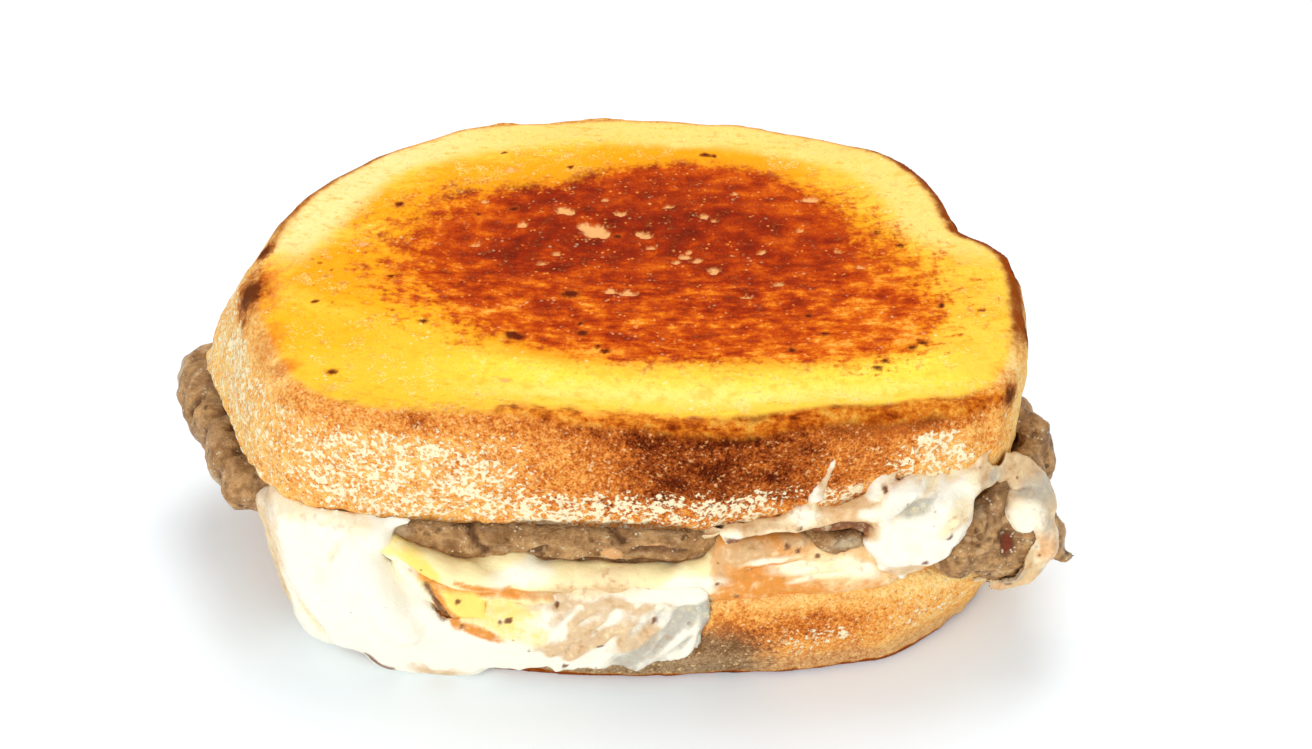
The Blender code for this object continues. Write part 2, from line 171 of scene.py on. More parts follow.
class Finish:
    """A material for one kind of food, built by its methods."""

    def __init__(self, name, **constants):
        self.material = bpy.data.materials.new(name)
        self.material.use_nodes = True
        self.nodes = self.material.node_tree.nodes
        self.links = self.material.node_tree.links
        self.shader = self.nodes["Principled BSDF"]
        for socket, value in constants.items():
            self.shader.inputs[socket.replace("_", " ")].default_value = value
        place = self.node("ShaderNodeTexCoord", {}, {}, "Object")
        self.place = self.vector("SCALE", place, scale=1 / MM)
        apart = self.node("ShaderNodeSeparateXYZ", {}, {"Vector": self.place}, "X")
        outputs = apart.socket.node.outputs
        self.x, self.y, self.z = (Value(self, outputs[axis]) for axis in "XYZ")

    def node(self, kind, settings, sockets, output=0):
        """Any node: its settings first, then a value or a link for each named socket."""
        node = self.nodes.new(kind)
        for setting, value in settings.items():
            if setting == "stops":
                self.set_stops(node.color_ramp, value)
            else:
                setattr(node, setting, value)
        for socket, value in sockets.items():
            if isinstance(value, Value):
                self.links.new(value.socket, node.inputs[socket])
            else:
                node.inputs[socket].default_value = value
        return Value(self, node.outputs[output])

    @staticmethod
    def set_stops(ramp, stops):
        """Sets a colour ramp's stops from (position, colour) pairs."""
        while len(ramp.elements) < len(stops):
            ramp.elements.new(0.5)
        for element, (position, colour) in zip(ramp.elements, stops):
            element.position = position
            element.color = (*colour, 1)

    def math(self, operation, first, second=0.0, clamp=False):
        settings = {"operation": operation, "use_clamp": clamp}
        return self.node("ShaderNodeMath", settings, {0: first, 1: second})

    def vector(self, operation, first, second=(0, 0, 0), scale=1.0):
        sockets = {0: first, "Scale": scale} if operation == "SCALE" else {0: first, 1: second}
        return self.node("ShaderNodeVectorMath", {"operation": operation}, sockets)

    def highest(self, *values):
        top = values[0]
        for value in values[1:]:
            top = self.math("MAXIMUM", top, value)
        return top

    def ramp(self, value, low, high):
        """0 where value is at low, 1 where it is at high, smooth between them. low may be above high."""
        sockets = {"Value": value, "From Min": low, "From Max": high}
        return self.node("ShaderNodeMapRange", {"interpolation_type": "SMOOTHSTEP"}, sockets)

    def join(self, x, y, z):
        return self.node("ShaderNodeCombineXYZ", {}, {"X": x, "Y": y, "Z": z})

    def grain(self, size, stretch=(1, 1, 1), detail=2.0, rough=0.5, shift=0.0, place=None):
        """A cloudy pattern, mostly from -1 to 1, whose patches are about size millimetres across."""
        scaled = self.vector("MULTIPLY", place or self.place, tuple(1 / (size * part) for part in stretch))
        moved = self.vector("ADD", scaled, (shift, shift * 0.7, shift * 1.3))
        sockets = {"Vector": moved, "Scale": 1.0, "Detail": detail, "Roughness": rough}
        return (self.node("ShaderNodeTexNoise", {}, sockets, 0) - 0.5) * GRAIN_CONTRAST

    def cells(self, size, feature="F1", shift=0.0):
        """Distance to the nearest of scattered points about size millimetres apart, 0 at a point."""
        moved = self.vector("ADD", self.place, (shift, shift, shift))
        sockets = {"Vector": moved, "Scale": 1 / size}
        return self.node("ShaderNodeTexVoronoi", {"feature": feature}, sockets, "Distance")

    def mix(self, share, first, second):
        """first where share is 0, second where it is 1."""
        sockets = {0: share, 6: self.colour(first), 7: self.colour(second)}
        return self.node("ShaderNodeMix", {"data_type": "RGBA"}, sockets, 2)

    @staticmethod
    def colour(value):
        return value if isinstance(value, Value) else (*value, 1)

    def colour_ramp(self, value, stops):
        return self.node("ShaderNodeValToRGB", {"stops": stops}, {"Fac": value}, "Color")

    def read(self, name):
        """The piece's own attribute of that name."""
        return self.node("ShaderNodeAttribute", {"attribute_name": name}, {}, "Fac")

    def set(self, socket, value):
        self.links.new(value.socket, self.shader.inputs[socket])

    def bump(self, height, depth):
        """Fine relief: height from 0 to 1 stands for depth millimetres."""
        sockets = {"Height": height, "Distance": depth * MM, "Strength": 1.0}
        self.set("Normal", self.node("ShaderNodeBump", {}, sockets))


def tint(red, green, blue):
    """A colour given on a 0 to 255 scale, as the linear values that a shader takes."""
    shares = [part / 255 for part in (red, green, blue)]
    return tuple(s / 12.92 if s <= 0.04045 else ((s + 0.055) / 1.055) ** 2.4 for s in shares)


print("golden crust is", [round(part, 3) for part in tint(239, 163, 20)])

# %% [markdown]
# ## Soft relief from noise
# Food has no straight lines. The relief of every piece below is a sum of patterns worked out at
# each vertex: a cloudy one for swells and dents, and a cellular one for crumbs of meat. They are
# written with numpy, which treats a hundred thousand vertices at once, and they come from a
# scrambled count of grid cells, so they are the same on every run.

# %% Noise for vertices
def scramble(cells, seed):
    """A repeatable number from 0 to 1 for each whole-number cell."""
    key = cells[..., 0] * 73856093 ^ cells[..., 1] * 19349663 ^ cells[..., 2] * 83492791
    key = (key ^ seed * 668265263) & 0xFFFFFFFF
    for step in (15, 13):
        key = ((key ^ key >> step) * 1274126177) & 0xFFFFFFFF
    return ((key ^ key >> 16) & 0xFFFF) / 65535


def cloud(places, size, seed=1):
    """Smooth noise from -1 to 1 whose swells are about size apart."""
    spots = places / size
    corner = np.floor(spots).astype(np.int64)
    share = spots - corner
    share = share * share * (3 - 2 * share)
    total = np.zeros(len(places))
    for offset in np.ndindex(2, 2, 2):
        weight = np.prod(np.where(offset, share, 1 - share), axis=1)
        total += weight * scramble(corner + np.array(offset), seed)
    return total * 2 - 1


def crumbs(places, size, seed=1):
    """Cellular noise: 0 at the middle of a crumb, about 1 in the crease between two."""
    spots = places / size
    corner = np.floor(spots).astype(np.int64)
    nearest = np.full(len(places), 9.0)
    second = np.full(len(places), 9.0)
    for offset in np.ndindex(3, 3, 3):
        cell = corner + np.array(offset) - 1
        middle = cell + np.stack([scramble(cell, seed + axis) for axis in range(3)], axis=1)
        distance = np.linalg.norm(spots - middle, axis=1)
        closer = distance < nearest
        second = np.where(closer, nearest, np.minimum(second, distance))
        nearest = np.where(closer, distance, nearest)
    return np.clip(nearest / np.maximum(second, 1e-6), 0, 1)


def ease(values, low, high):
    """0 at low, 1 at high, smooth between them; low may be above high."""
    share = np.clip((values - low) / (high - low), 0, 1)
    return share * share * (3 - 2 * share)


sample = np.random.default_rng(3).uniform(-50, 50, (2000, 3))
print("cloud spans", np.round([cloud(sample, 5).min(), cloud(sample, 5).max()], 2))

# %% [markdown]
# ## From a plain solid to a fine skin
# Each solid of the frame is a coarse shell of loose triangles. A copy of it is merged, swollen a
# little where it must close a gap to its neighbour, and rebuilt by a voxel remesh, which gives an
# even skin of small squares. Smoothing takes out the facets, and the skin is then ready for the
# relief. Extra swells or drips are added as balls before the remesh, which melts them in.

# %% Fine skins
def points_of(mesh):
    places = np.empty(len(mesh.vertices) * 3)
    mesh.vertices.foreach_get("co", places)
    return places.reshape(-1, 3) / MM


def normals_of(mesh):
    normals = np.empty(len(mesh.vertices) * 3)
    mesh.vertex_normals.foreach_get("vector", normals)
    return normals.reshape(-1, 3)


def set_points(mesh, places):
    mesh.vertices.foreach_set("co", (places * MM).ravel())
    mesh.update()


def merged_copy(node):
    """A copy of one solid of the frame, its loose triangles joined."""
    form = bmesh.new()
    form.from_mesh(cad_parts[node].data)
    bmesh.ops.remove_doubles(form, verts=form.verts, dist=0.001 * MM)
    return form


def swell(form, distance):
    """Moves the skin outwards by distance millimetres."""
    form.normal_update()
    for vertex in form.verts:
        vertex.co += vertex.normal * distance * MM


def drop_ball(form, place, radius):
    """A ball of food at a place in millimetres."""
    where = Matrix.Translation(Vector(place) * MM)
    bmesh.ops.create_icosphere(form, subdivisions=2, radius=radius * MM, matrix=where)


def run(form, *path):
    """A run of soft food through (x, y, z, radius) points in millimetres."""
    for first, second in zip(path, path[1:]):
        start, end = np.array(first, float), np.array(second, float)
        steps = max(1, math.ceil(np.linalg.norm(end[:3] - start[:3]) / (0.5 * min(start[3], end[3]))))
        for step in range(steps + 1):
            x, y, z, radius = start + (end - start) * step / steps
            drop_ball(form, (x, y, z), radius)


FRONT_X = (-71, -65.5, -56, -34, -12, 6, 22, 38, 50, 56, 61.5, 65.5, 68.8, 71)
FRONT_Y = (-8, -30, -44.5, -50, -51.8, -52.2, -51.2, -49.2, -46.6, -45, -43, -37, -29, -12)


def cling(form, proud, *path):
    """A thin run of soft food on the front of the loaf through (x, z, radius) points, proud of the crust."""
    run(form, *((x, np.interp(x, FRONT_X, FRONT_Y) + radius - proud, z, radius) for x, z, radius in path))


def skin_from(form, name, voxel, smoothing):
    """The remeshed and smoothed skin as a new object; form is used up."""
    mesh = bpy.data.meshes.new(name)
    form.to_mesh(mesh)
    form.free()
    rough = bpy.data.objects.new(name + "_rough", mesh)
    bpy.context.scene.collection.objects.link(rough)
    remesh = rough.modifiers.new("even", "REMESH")
    remesh.mode = "VOXEL"
    remesh.voxel_size = voxel * MM
    relax = rough.modifiers.new("relax", "SMOOTH")
    relax.factor = 0.5
    relax.iterations = smoothing
    bpy.context.view_layer.update()
    graph = bpy.context.evaluated_depsgraph_get()
    skin = bpy.data.meshes.new_from_object(rough.evaluated_get(graph))
    bpy.data.objects.remove(rough)
    skin.name = name
    skin.materials.clear()
    skin.shade_smooth()
    piece = bpy.data.objects.new(name, skin)
    bpy.context.scene.collection.objects.link(piece)
    return piece


def write_field(piece, name, values):
    """Stores one number at each vertex, for the material to read."""
    field = piece.data.attributes.new(name, "FLOAT", "POINT")
    field.data.foreach_set("value", np.asarray(values, np.float32))


def nearness(places, spots):
    """How deep each place lies in the nearest of (x, y, z, rx, ry, rz) spots: 1 in its middle, 0 on its
    edge, below 0 outside."""
    best = np.full(len(places), -1.0)
    for spot in spots:
        away = (places - spot[:3]) / spot[3:]
        best = np.maximum(best, 1 - np.linalg.norm(away, axis=1))
    return best


def oval(places, x, y, along, across, turn=0.0):
    """1 in the middle of an oval on the face, 0 on its edge, below 0 outside; turn is in degrees."""
    angle = math.radians(turn)
    away = places[:, :2] - (x, y)
    first = away @ (math.cos(angle), math.sin(angle)) / along
    second = away @ (-math.sin(angle), math.cos(angle)) / across
    return 1 - np.hypot(first, second)


def front_patches(places, *patches):
    """The highest of several ragged ovals (x, z, wide, high, turn in degrees) seen from the front; 0 at the back."""
    x = places[:, 0] + 1.2 * cloud(places, 4.5, 71) + 0.6 * cloud(places, 1.8, 72)
    z = places[:, 2] + 1.0 * cloud(places, 4.5, 73) + 0.5 * cloud(places, 1.8, 74)
    seen = np.stack([x, z], axis=1)
    best = np.maximum.reduce([oval(seen, *patch) for patch in patches])
    return np.clip(1.6 * best, 0, 1) * ease(places[:, 1], -26, -36)


def beside(places, path, width):
    """1 on a line through (x, y, z) points, 0 at width millimetres from it and beyond."""
    nearest = np.full(len(places), np.inf)
    for first, second in zip(path, path[1:]):
        start, along = np.array(first, float), np.array(second, float) - first
        share = np.clip((places - start) @ along / (along @ along), 0, 1)
        nearest = np.minimum(nearest, np.linalg.norm(places - start - share[:, None] * along, axis=1))
    return ease(nearest, width, 0)


def lines_beside(places, *lines):
    """The strongest of several lines, each a width and its points."""
    return np.maximum.reduce([beside(places, path, width) for width, *path in lines])


def front_lines(places, *lines):
    """Like lines_beside, for lines of (x, z) points seen from the front; 0 at the back."""
    flat = places * (1, 0, 1)
    paths = [(width, *((x, 0, z) for x, z in path)) for width, *path in lines]
    return lines_beside(flat, *paths) * ease(places[:, 1], -26, -36)


def specks(places, *spots):
    """Small round spots (x, z, radius) seen from the front; their colour comes from the field they are put in."""
    deep = nearness(places * (1, 0, 1), [(x, 0, z, radius, 1, radius) for x, z, radius in spots])
    return np.clip(2 * deep, 0, 1) * ease(places[:, 1], -26, -36)


def place_piece(piece, node, finish):
    """Hands a finished piece to the frame in place of one of its solids."""
    piece.data.materials.append(finish.material)
    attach(piece, "root")
    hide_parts(node)
    print(piece.name, "has", 2 * len(piece.data.polygons), "triangles")

# %% [markdown]
# ## The upper slice: its shape
# The slice was cut from a free-baked loaf, buttered and fried face up. Its crust is a hard skin
# with shallow waves and small blisters, and its upper face is crumb pressed flat by the pan, with
# a few open bubbles left in it. The skin is pushed in and out along its own normals: broad waves
# for the crust, fine grain all over, and a small bowl for each open bubble.

# %% Upper slice
def outline_distance(places, low, high):
    """How far each place is, seen from above, from the wall of the skin between two heights."""
    wall = places[(places[:, 2] > low) & (places[:, 2] < high)]
    tree = KDTree(len(wall))
    for index, (x, y, z) in enumerate(wall):
        tree.insert((x, y, 0), index)
    tree.balance()
    return np.array([tree.find((x, y, 0))[2] for x, y, z in places])


TOP_EDGE = 57.2
TOP_SLICE_VOXEL = 0.66
OPEN_BUBBLES = (
    (-8.0, 8.5, 3.0, 3.2), (-9.8, 10.0, 1.8, 2.0), (-6.0, 7.2, 1.8, 2.0), (-14.0, 15.5, 1.9, 1.6),
    (-12.6, 14.6, 1.2, 1.2), (-3.0, 14.5, 1.7, 1.2), (2.0, 6.5, 1.8, 1.3), (0.6, 7.6, 1.1, 1.1),
    (-21.5, 11.0, 1.4, 1.3), (3.0, 2.5, 1.4, 1.2), (9.0, -0.5, 1.5, 1.2), (7.4, -2.4, 1.1, 1.0),
    (11.2, -2.0, 1.3, 1.1), (10.0, 1.2, 0.9, 0.9), (14.5, -5.5, 1.3, 1.2), (23.5, 1.0, 1.2, 1.1),
    (13.0, 13.5, 1.3, 1.2), (14.8, 12.0, 0.9, 0.9), (33.5, 20.0, 2.0, 1.3), (-29.0, 19.0, 1.1, 1.0),
    (-24.5, 31.5, 1.6, 1.4), (-51.0, 4.5, 1.7, 1.2), (-22.0, -39.0, 1.5, 0.8), (31.0, 8.5, 1.1, 1.1),
    (-14.5, 0.5, 1.2, 0.9), (-1.0, -13.0, 2.6, 1.0), (-4.5, -12.4, 1.8, 0.9), (41.5, -4.0, 1.3, 1.0),
    (-17.0, -3.0, 1.1, 0.8), (19.0, 22.0, 1.1, 0.8), (26.0, -10.0, 1.6, 0.9), (-30.0, 4.0, 1.3, 0.9),
    (-6.0, 19.5, 1.1, 0.9), (6.0, 17.0, 1.2, 0.8), (38.0, 1.0, 1.0, 0.9), (20.0, -14.0, 1.4, 0.8),
)


def bubble_depth(places, bubbles, floor):
    """1 in the middle of an open bubble of the face at height floor, 0 at its rim and beyond."""
    wobble = places + 0.35 * np.stack([cloud(places, 1.4, seed) for seed in (31, 32, 33)], axis=1)
    spots = [(x, y, floor, wide, deep, 3.0) for x, y, wide, deep in bubbles]
    return np.clip(nearness(wobble, spots), 0, 1)


slice_form = merged_copy("bread_top")
top_slice = skin_from(slice_form, "top_slice", TOP_SLICE_VOXEL, 5)
places, normals = points_of(top_slice.data), normals_of(top_slice.data)
rim = outline_distance(places, 55.0, 56.0)
upper = places[:, 2] > 56.4
ledge = np.where(upper, rim - 1.0, places[:, 2] - TOP_EDGE)
on_face = ease(ledge, 0.2, 2.0) * (normals[:, 2] > 0)
on_crust = ease(np.abs(normals[:, 2]), 0.85, 0.6)
bubbles = bubble_depth(places, OPEN_BUBBLES, places[:, 2].max())
low_edge = ease(places[:, 2], 42, 36.5)
waves = 0.75 * cloud(places, 16, 5) + 0.45 * cloud(places, 7, 4) + 0.30 * cloud(places, 3.4, 6)
push = on_crust * (waves + 0.16 * cloud(places, 1.7, 7) + low_edge * (0.6 * cloud(places, 2.8, 15) + 0.3 * cloud(places, 1.3, 16)))
push += on_face * (0.30 * cloud(places, 13, 8) + 0.16 * cloud(places, 4, 9) + 0.10 * cloud(places, 1.6, 10))
push -= on_face * 0.8 * ease(bubbles, 0.0, 0.6)
moved = places + normals * push[:, None]
flat = places * (1, 1, 0)
moved[:, 2] += (0.75 * cloud(flat, 17, 17) + 0.35 * cloud(flat, 7, 18)) * ease(places[:, 2], 48, 57) * ease(rim, 16, 0)
moved[:, 2] += low_edge * on_crust * (0.5 * cloud(flat, 9, 19) + 0.35 * cloud(flat, 3, 20))
set_points(top_slice.data, moved)
print("crust height", round(float(np.ptp(places[:, 2])), 1), "rim of face", round(float(rim.max()), 1))

# %% [markdown]
# ## The upper slice: where the pan touched
# Colour follows heat and butter. The middle of the face lay on the hot pan and is a ragged brown
# oval; a gold ring of soaked butter surrounds it; a bright lemon-yellow band of melted butter runs
# along the front; the raised rim stayed pale. Each of these is a broad field of numbers on the
# vertices, and the material breaks its edges up with finer noise.

# %% Fields of the upper slice
def flat_spots(spots, floor):
    """Spots (x, y, wide, deep) on the face as the solid spots that nearness() takes."""
    return [(x, y, floor, wide, deep, 3.0) for x, y, wide, deep in spots]


x, y, z = places.T
toast = np.maximum.reduce([
    oval(places, 2.5, -4.0, 48, 30, -11),
    oval(places, 10, 7, 32, 26.5, -12),
    oval(places, 28, -16.5, 25.5, 17.5, -6),
])
toast += 0.035 * cloud(places, 12, 11) + 0.02 * cloud(places, 5, 12)
toast_core = np.maximum(oval(places, 4, 8, 44, 22, -12), 0.75 * oval(places, -18, 2, 26, 16, -16))
lemon_line = -40.0 + np.where(x < 8, 0.0028, 0.0021) * (x - 8) ** 2
lemon = ease(np.abs(y - lemon_line), 9.5, 2.0) * ease(x, 66, 46) * ease(x, -60, -14)
behind = ease(toast, -0.62, -0.06) * ease(y, 2, 16) * ease(x, 48, 24)
around = 0.8 * ease(toast, -0.26, 0.0)
left_gold = np.maximum(ease(oval(places, -46, -8, 27, 17, -24), 0.0, 0.6), 0.6 * ease(oval(places, -57, -24, 20, 11, -20), 0.0, 0.6))
gold = np.maximum.reduce([behind, around, left_gold, 0.45 * ease(toast, -0.7, -0.1)])
pale_rim = ease(rim, 16, 7) * ease(y, -10, 10)
front_side = ease(-normals[:, 1], 0.2, 0.6) * ease(z, 34, 38)
back_side = ease(normals[:, 1], -0.2, 0.4)
left_side = ease(-normals[:, 0], 0.3, 0.8)
right_side = ease(normals[:, 0], 0.3, 0.8)
edge_middle = np.where(x < 0, 1.0 + 1.4 * ease(x, -10, -45), 1.0 - 1.4 * ease(x, 0, 25))
front_edge = ease(np.abs(ledge + 0.9 * cloud(places, 7, 16) - edge_middle), 3.9 - 0.9 * ease(x, -24, -4), 0.2) * ease(y, -36, -42) * ease(x, -60, -50)
front_edge *= 0.30 + 0.70 * ease(x, -36, -5)
back_edge = ease(ledge, -4.5, -0.5) * ease(ledge, 3.6, 0.2) * ease(y, -38, -20) * (1 - 0.5 * ease(x, -50, -62) * ease(y, 6, -6))
back_edge *= 0.45 + 0.55 * ease(x, 36, 56) + 0.3 * ease(x, -40, -54)
scorch_spots = [
    (-69.5, -11.5, 55.5, 4.6, 6.5, 4.6), (-68.5, -6.0, 55.0, 3.0, 4.0, 2.8), (-69.0, 2.5, 56.0, 2.4, 4.2, 2.2),
    (-66.0, 21.0, 56.0, 1.7, 3.4, 1.4), (-63.5, 26.5, 56.0, 2.0, 2.2, 1.4), (-69.0, -17.5, 54.0, 2.2, 3.2, 2.2),
    (70.0, -3.5, 55.6, 2.4, 3.6, 2.6), (60.5, 18.5, 56.0, 1.6, 4.5, 2.0), (61.5, 12.5, 56.0, 2.2, 2.8, 2.2),
    (63.0, -34.5, 55.4, 2.0, 2.4, 1.8), (64.5, -38.5, 54.0, 2.6, 2.8, 3.0), (69.5, -21.0, 54.8, 2.0, 5.5, 2.0),
    (64.0, 6.5, 55.6, 2.4, 2.2, 2.0), (70.0, -12.0, 54.0, 1.8, 4.0, 2.0), (57.5, 27.0, 56.0, 1.6, 4.0, 1.4),
]
scorch_spots += flat_spots((
    (-11.5, -13.5, 2.3, 2.0), (-21.5, -26.0, 2.0, 1.7), (-20.2, -26.8, 1.5, 1.3), (-9.0, -25.5, 1.5, 1.3),
    (-9.5, -22.5, 0.8, 0.8), (-5.0, -31.0, 1.2, 1.0), (-6.4, -29.6, 0.9, 0.9), (-3.5, 6.0, 1.4, 1.1),
    (-4.5, 10.0, 0.9, 0.8), (-23.5, 16.5, 1.4, 1.1), (13.5, 36.5, 1.6, 1.2), (15.2, 36.2, 1.0, 0.8),
    (49.5, 3.5, 1.2, 1.0), (50.5, -28.0, 1.5, 1.0), (48.5, -29.4, 1.4, 0.9), (42.0, -35.5, 1.4, 0.8),
    (43.5, -33.5, 0.8, 0.9), (-26.5, 38.0, 0.8, 0.8), (-45.5, 18.0, 1.0, 1.2), (-13.0, 32.0, 0.8, 0.8),
    (-57.5, -15.5, 1.0, 0.9), (-44.5, -7.0, 1.0, 0.8), (-37.5, -21.5, 1.3, 1.0), (-52.0, -36.5, 1.5, 1.2),
    (55.0, -16.5, 0.9, 0.9), (31.0, -20.0, 1.0, 0.8), (27.5, -30.5, 1.4, 0.8), (45.5, 8.0, 0.8, 0.8),
    (33.5, -25.5, 1.2, 0.8), (-30.0, 14.5, 0.9, 0.8), (62.0, -18.0, 0.7, 0.7),
), z.max())
scorch = np.clip(nearness(places, scorch_spots), 0, 1)
singed = np.clip(nearness(places, [
    (-69, -11, 55, 9, 17, 10), (-64, -27, 56, 5, 10, 4), (-66, 20, 56, 4, 12, 4), (71, -8, 54, 3.6, 16, 6), (61.5, 17, 56, 3, 10, 4),
    (64, -36, 54, 6, 7, 6), (-61, -34, 57, 6, 4, 3), (44, -48, 54, 16, 8, 3.4),
]), 0, 1)
front = ease(y, -36, -42)
crust_tone = 0.30 + 0.16 * front * ease(x, -36, -12) + 0.10 * front * ease(z, 52, 56)
crust_tone += 0.30 * front * ease(x, -14, 8) * ease(x, 46, 20) * ease(z, 36, 44)
crust_tone += 0.06 * front * ease(x, 20, 34) * ease(x, 50, 42) - 0.08 * ease(x, -58, -66) - 0.14 * ease(x, 42, 58)
brown_spots = (
    (1.5, -52, 53.4, 5, 6, 2.6), (18, -51.5, 54.6, 8, 6, 2.2), (39.5, -49, 55.2, 5, 6, 1.8), (-29.5, -51.5, 49.6, 2.4, 5, 2.4),
    (14, -51.5, 50, 5, 6, 3), (-4, -52.5, 40, 5, 6, 3), (26.5, -51, 41, 7, 6, 3), (4, -52, 42, 4, 6, 2), (-8, -52, 56, 6, 5, 1.6),
    (30, -50, 52, 3, 6, 2), (-36, -50, 56.5, 5, 5, 1.2), (24, -51, 47, 4, 6, 3), (7, -52, 46.5, 4, 6, 2.4), (50, -47, 55, 4, 6, 1.4),
)
crust_tone += 0.24 * np.clip(nearness(places + 1.6 * cloud(places, 2.6, 15)[:, None], brown_spots), 0, 1)
crust_tone += 0.24 * front * ease(z, 50, 56) * ease(x, 30, 42) * ease(x, 64, 54) - 0.12 * front * ease(z, 46, 41) * ease(x, 16, 24)
gap_shade = front * ease(z, 36.4, 34.8) * ease(x, -50, -44) * ease(x, 14, 8)
flour = np.clip(0.75 * left_side + 0.30 * right_side + 0.35 * back_side, 0, 1)
flour = np.maximum(flour, np.clip(2.0 * nearness(places, [
    (-40, -50, 45, 38, 18, 15), (-8, -51, 38.5, 24, 14, 8), (13, -51, 40.0, 22, 16, 9),
    (51, -46, 46, 11, 14, 7), (-66, -22, 46, 19, 20, 15), (38, -49, 40, 11, 12, 5), (52, -46, 51, 6, 14, 2.6),
]), 0, 1))
flour *= 1 - 0.85 * front * ease(x, -26, -10) * ease(z, 41.5, 45) * ease(x, 44, 36)
flour *= 1 - 0.8 * ease(z, 52.5, 56)
fleck = np.clip(np.maximum(1.6 * oval(places, -46, -9, 21, 15, -22), 1.6 * oval(places, 47, -4, 13, 18, 0)), 0, 1)
TOP_FIELDS = {
    "on_face": on_face, "ledge": ledge, "toast": toast, "toast_core": toast_core, "lemon": lemon,
    "gold": gold, "pale_rim": pale_rim, "front_edge": front_edge, "back_edge": back_edge, "flour": flour,
    "scorch": scorch, "singed": singed, "crust_tone": crust_tone, "bubbles": bubbles, "fleck": fleck,
    "gap_shade": gap_shade, "low_crust": np.zeros(len(x)), "greyed": np.zeros(len(x)),
}
for name, values in TOP_FIELDS.items():
    write_field(top_slice, name, values)
print("face browned", round(100 * float(np.mean(toast[on_face > 0.5] > 0))), "percent")

# %% [markdown]
# ## The finish of browned bread
# One material serves both slices. The crust follows one scale of browning, from pale gold to
# almost black, that a field of the vertices sets and noise breaks up. The fried face has its own
# scale from gold to red-brown; fibres of crumb run across the slice, so its lower half is streaky
# while the upper half is mottled. Flour is a fine white speckle where the flour field is high.

# %% Patterns of browned bread
bread = Finish("browned_bread", Specular_IOR_Level=0.03)
on_face_mask = bread.read("on_face")
toast_field = bread.read("toast")
bend = (bread.x - 10) * (bread.x - 10) * 0.0019
fibres = bread.join(bread.x, bread.y - bend, bread.z)
streaks = bread.grain(1.8, (2.4, 1, 2), 3.0, 0.55, place=fibres)
hairs = bread.grain(0.9, (2.4, 1, 2), 2.0, 0.6, shift=4, place=fibres)
mottle = bread.grain(2.8, (1.0, 1.3, 1), 4.0, 0.6, shift=5)
patches = bread.grain(8, (1.5, 1, 1), 3.0, 0.5, shift=8)
crumb = bread.grain(0.85, (1.0, 1.3, 1), 3.0, 0.62, shift=2)
sugar = bread.grain(0.42, detail=1.0, shift=6)
streaky = 0.25 + bread.ramp(bread.y, 6, -14) * 0.75

# %% Colours of the buttered face
soaked = bread.read("gold") + patches * 0.40 + streaks * 0.34 + mottle * 0.26
face = bread.mix(bread.ramp(soaked, 0.0, 0.85), tint(255, 208, 72), tint(246, 166, 14))
rim_share = bread.ramp(bread.read("pale_rim") + patches * 0.22 + mottle * 0.16, 0.1, 0.95)
left_share = bread.ramp(bread.x, -20, -50)
face = bread.mix(rim_share, face, bread.mix(left_share, tint(255, 216, 118), tint(255, 228, 150)))
buttered = bread.ramp(bread.read("lemon") + streaks * 0.34 + patches * 0.26 + mottle * 0.2, 0.1, 0.95)
face = bread.mix(buttered, face, bread.mix(bread.ramp(bread.y + patches * 2, -37, -46), tint(255, 224, 74), tint(255, 231, 120)))
golden_left = bread.ramp(bread.x + patches * 6, -12, -42) * bread.ramp(bread.y, -8, -22)
face = bread.mix(golden_left * 0.6, face, tint(254, 190, 30))
face = bread.mix(bread.ramp(mottle + sugar * 0.8 + patches * 0.4, 0.2, 1.2) * 0.6, face, tint(255, 236, 152))
face = bread.mix(bread.ramp(mottle + patches * 0.5 - buttered * 0.4, -0.3, -1.1) * 0.5, face, tint(247, 172, 40))
face = bread.mix(bread.ramp(streaks + crumb * 0.5 + bread.read("lemon") * 0.4, -0.15, -0.9) * 0.6, face, tint(246, 160, 14))
singe = bread.ramp(bread.read("singed") + mottle * 0.22 + crumb * 0.15, 0.1, 0.85)
face = bread.mix(singe, face, tint(228, 122, 28))
open_crumb_and_rim_shade = bread.ramp(bread.read("bubbles") + crumb * 0.22 + mottle * 0.12, 0.0, 0.5)

# %% Colours of the browned patch
side_share = bread.ramp(bread.math("ABSOLUTE", bread.x - 3), 20, 48)
ragged = toast_field + (streaks * streaky * 0.09 + hairs * 0.04 + crumb * 0.08 + mottle * 0.10) * (side_share * 1.3 + 0.6)
halo = bread.ramp(ragged, -0.26, 0.04)
face = bread.mix(halo * 0.65, face, tint(238, 148, 20))
browned = bread.ramp(ragged, side_share * -0.16 - 0.08, side_share * 0.08 + 0.08)
clouds = bread.grain(4.6, (1.4, 1, 1), 2.0, 0.5, shift=15)
depth = (
    bread.read("toast_core") * 0.30 + streaks * streaky * 0.26 + hairs * streaky * 0.15 + bread.ramp(bread.y, -8, -30) * 0.08
    + clouds * 0.26 + mottle * 0.20 + crumb * 0.11 + patches * 0.10 + sugar * 0.07 - side_share * 0.14 + 0.56
)
toasted = bread.colour_ramp(depth, (
    (0.06, tint(250, 176, 76)), (0.22, tint(236, 134, 26)), (0.38, tint(214, 94, 6)),
    (0.56, tint(184, 62, 0)), (0.74, tint(150, 38, 0)), (1.0, tint(112, 22, 0)),
))
face = bread.mix(browned, face, toasted)
glints = bread.ramp(bread.cells(1.15, shift=9), 0.32, 0.18) * bread.ramp(bread.grain(2.4, shift=33), 0.05, 0.5)
face = bread.mix(glints * browned * 0.6, face, tint(250, 170, 84))
flecks = bread.ramp(bread.cells(1.8) + crumb * 0.1, 0.34, 0.16) * bread.ramp(bread.grain(2.4, shift=12), 0.0, 0.4)
face = bread.mix(flecks * bread.ramp(bread.read("fleck"), 0.05, 0.6) * 0.8, face, tint(176, 84, 4))
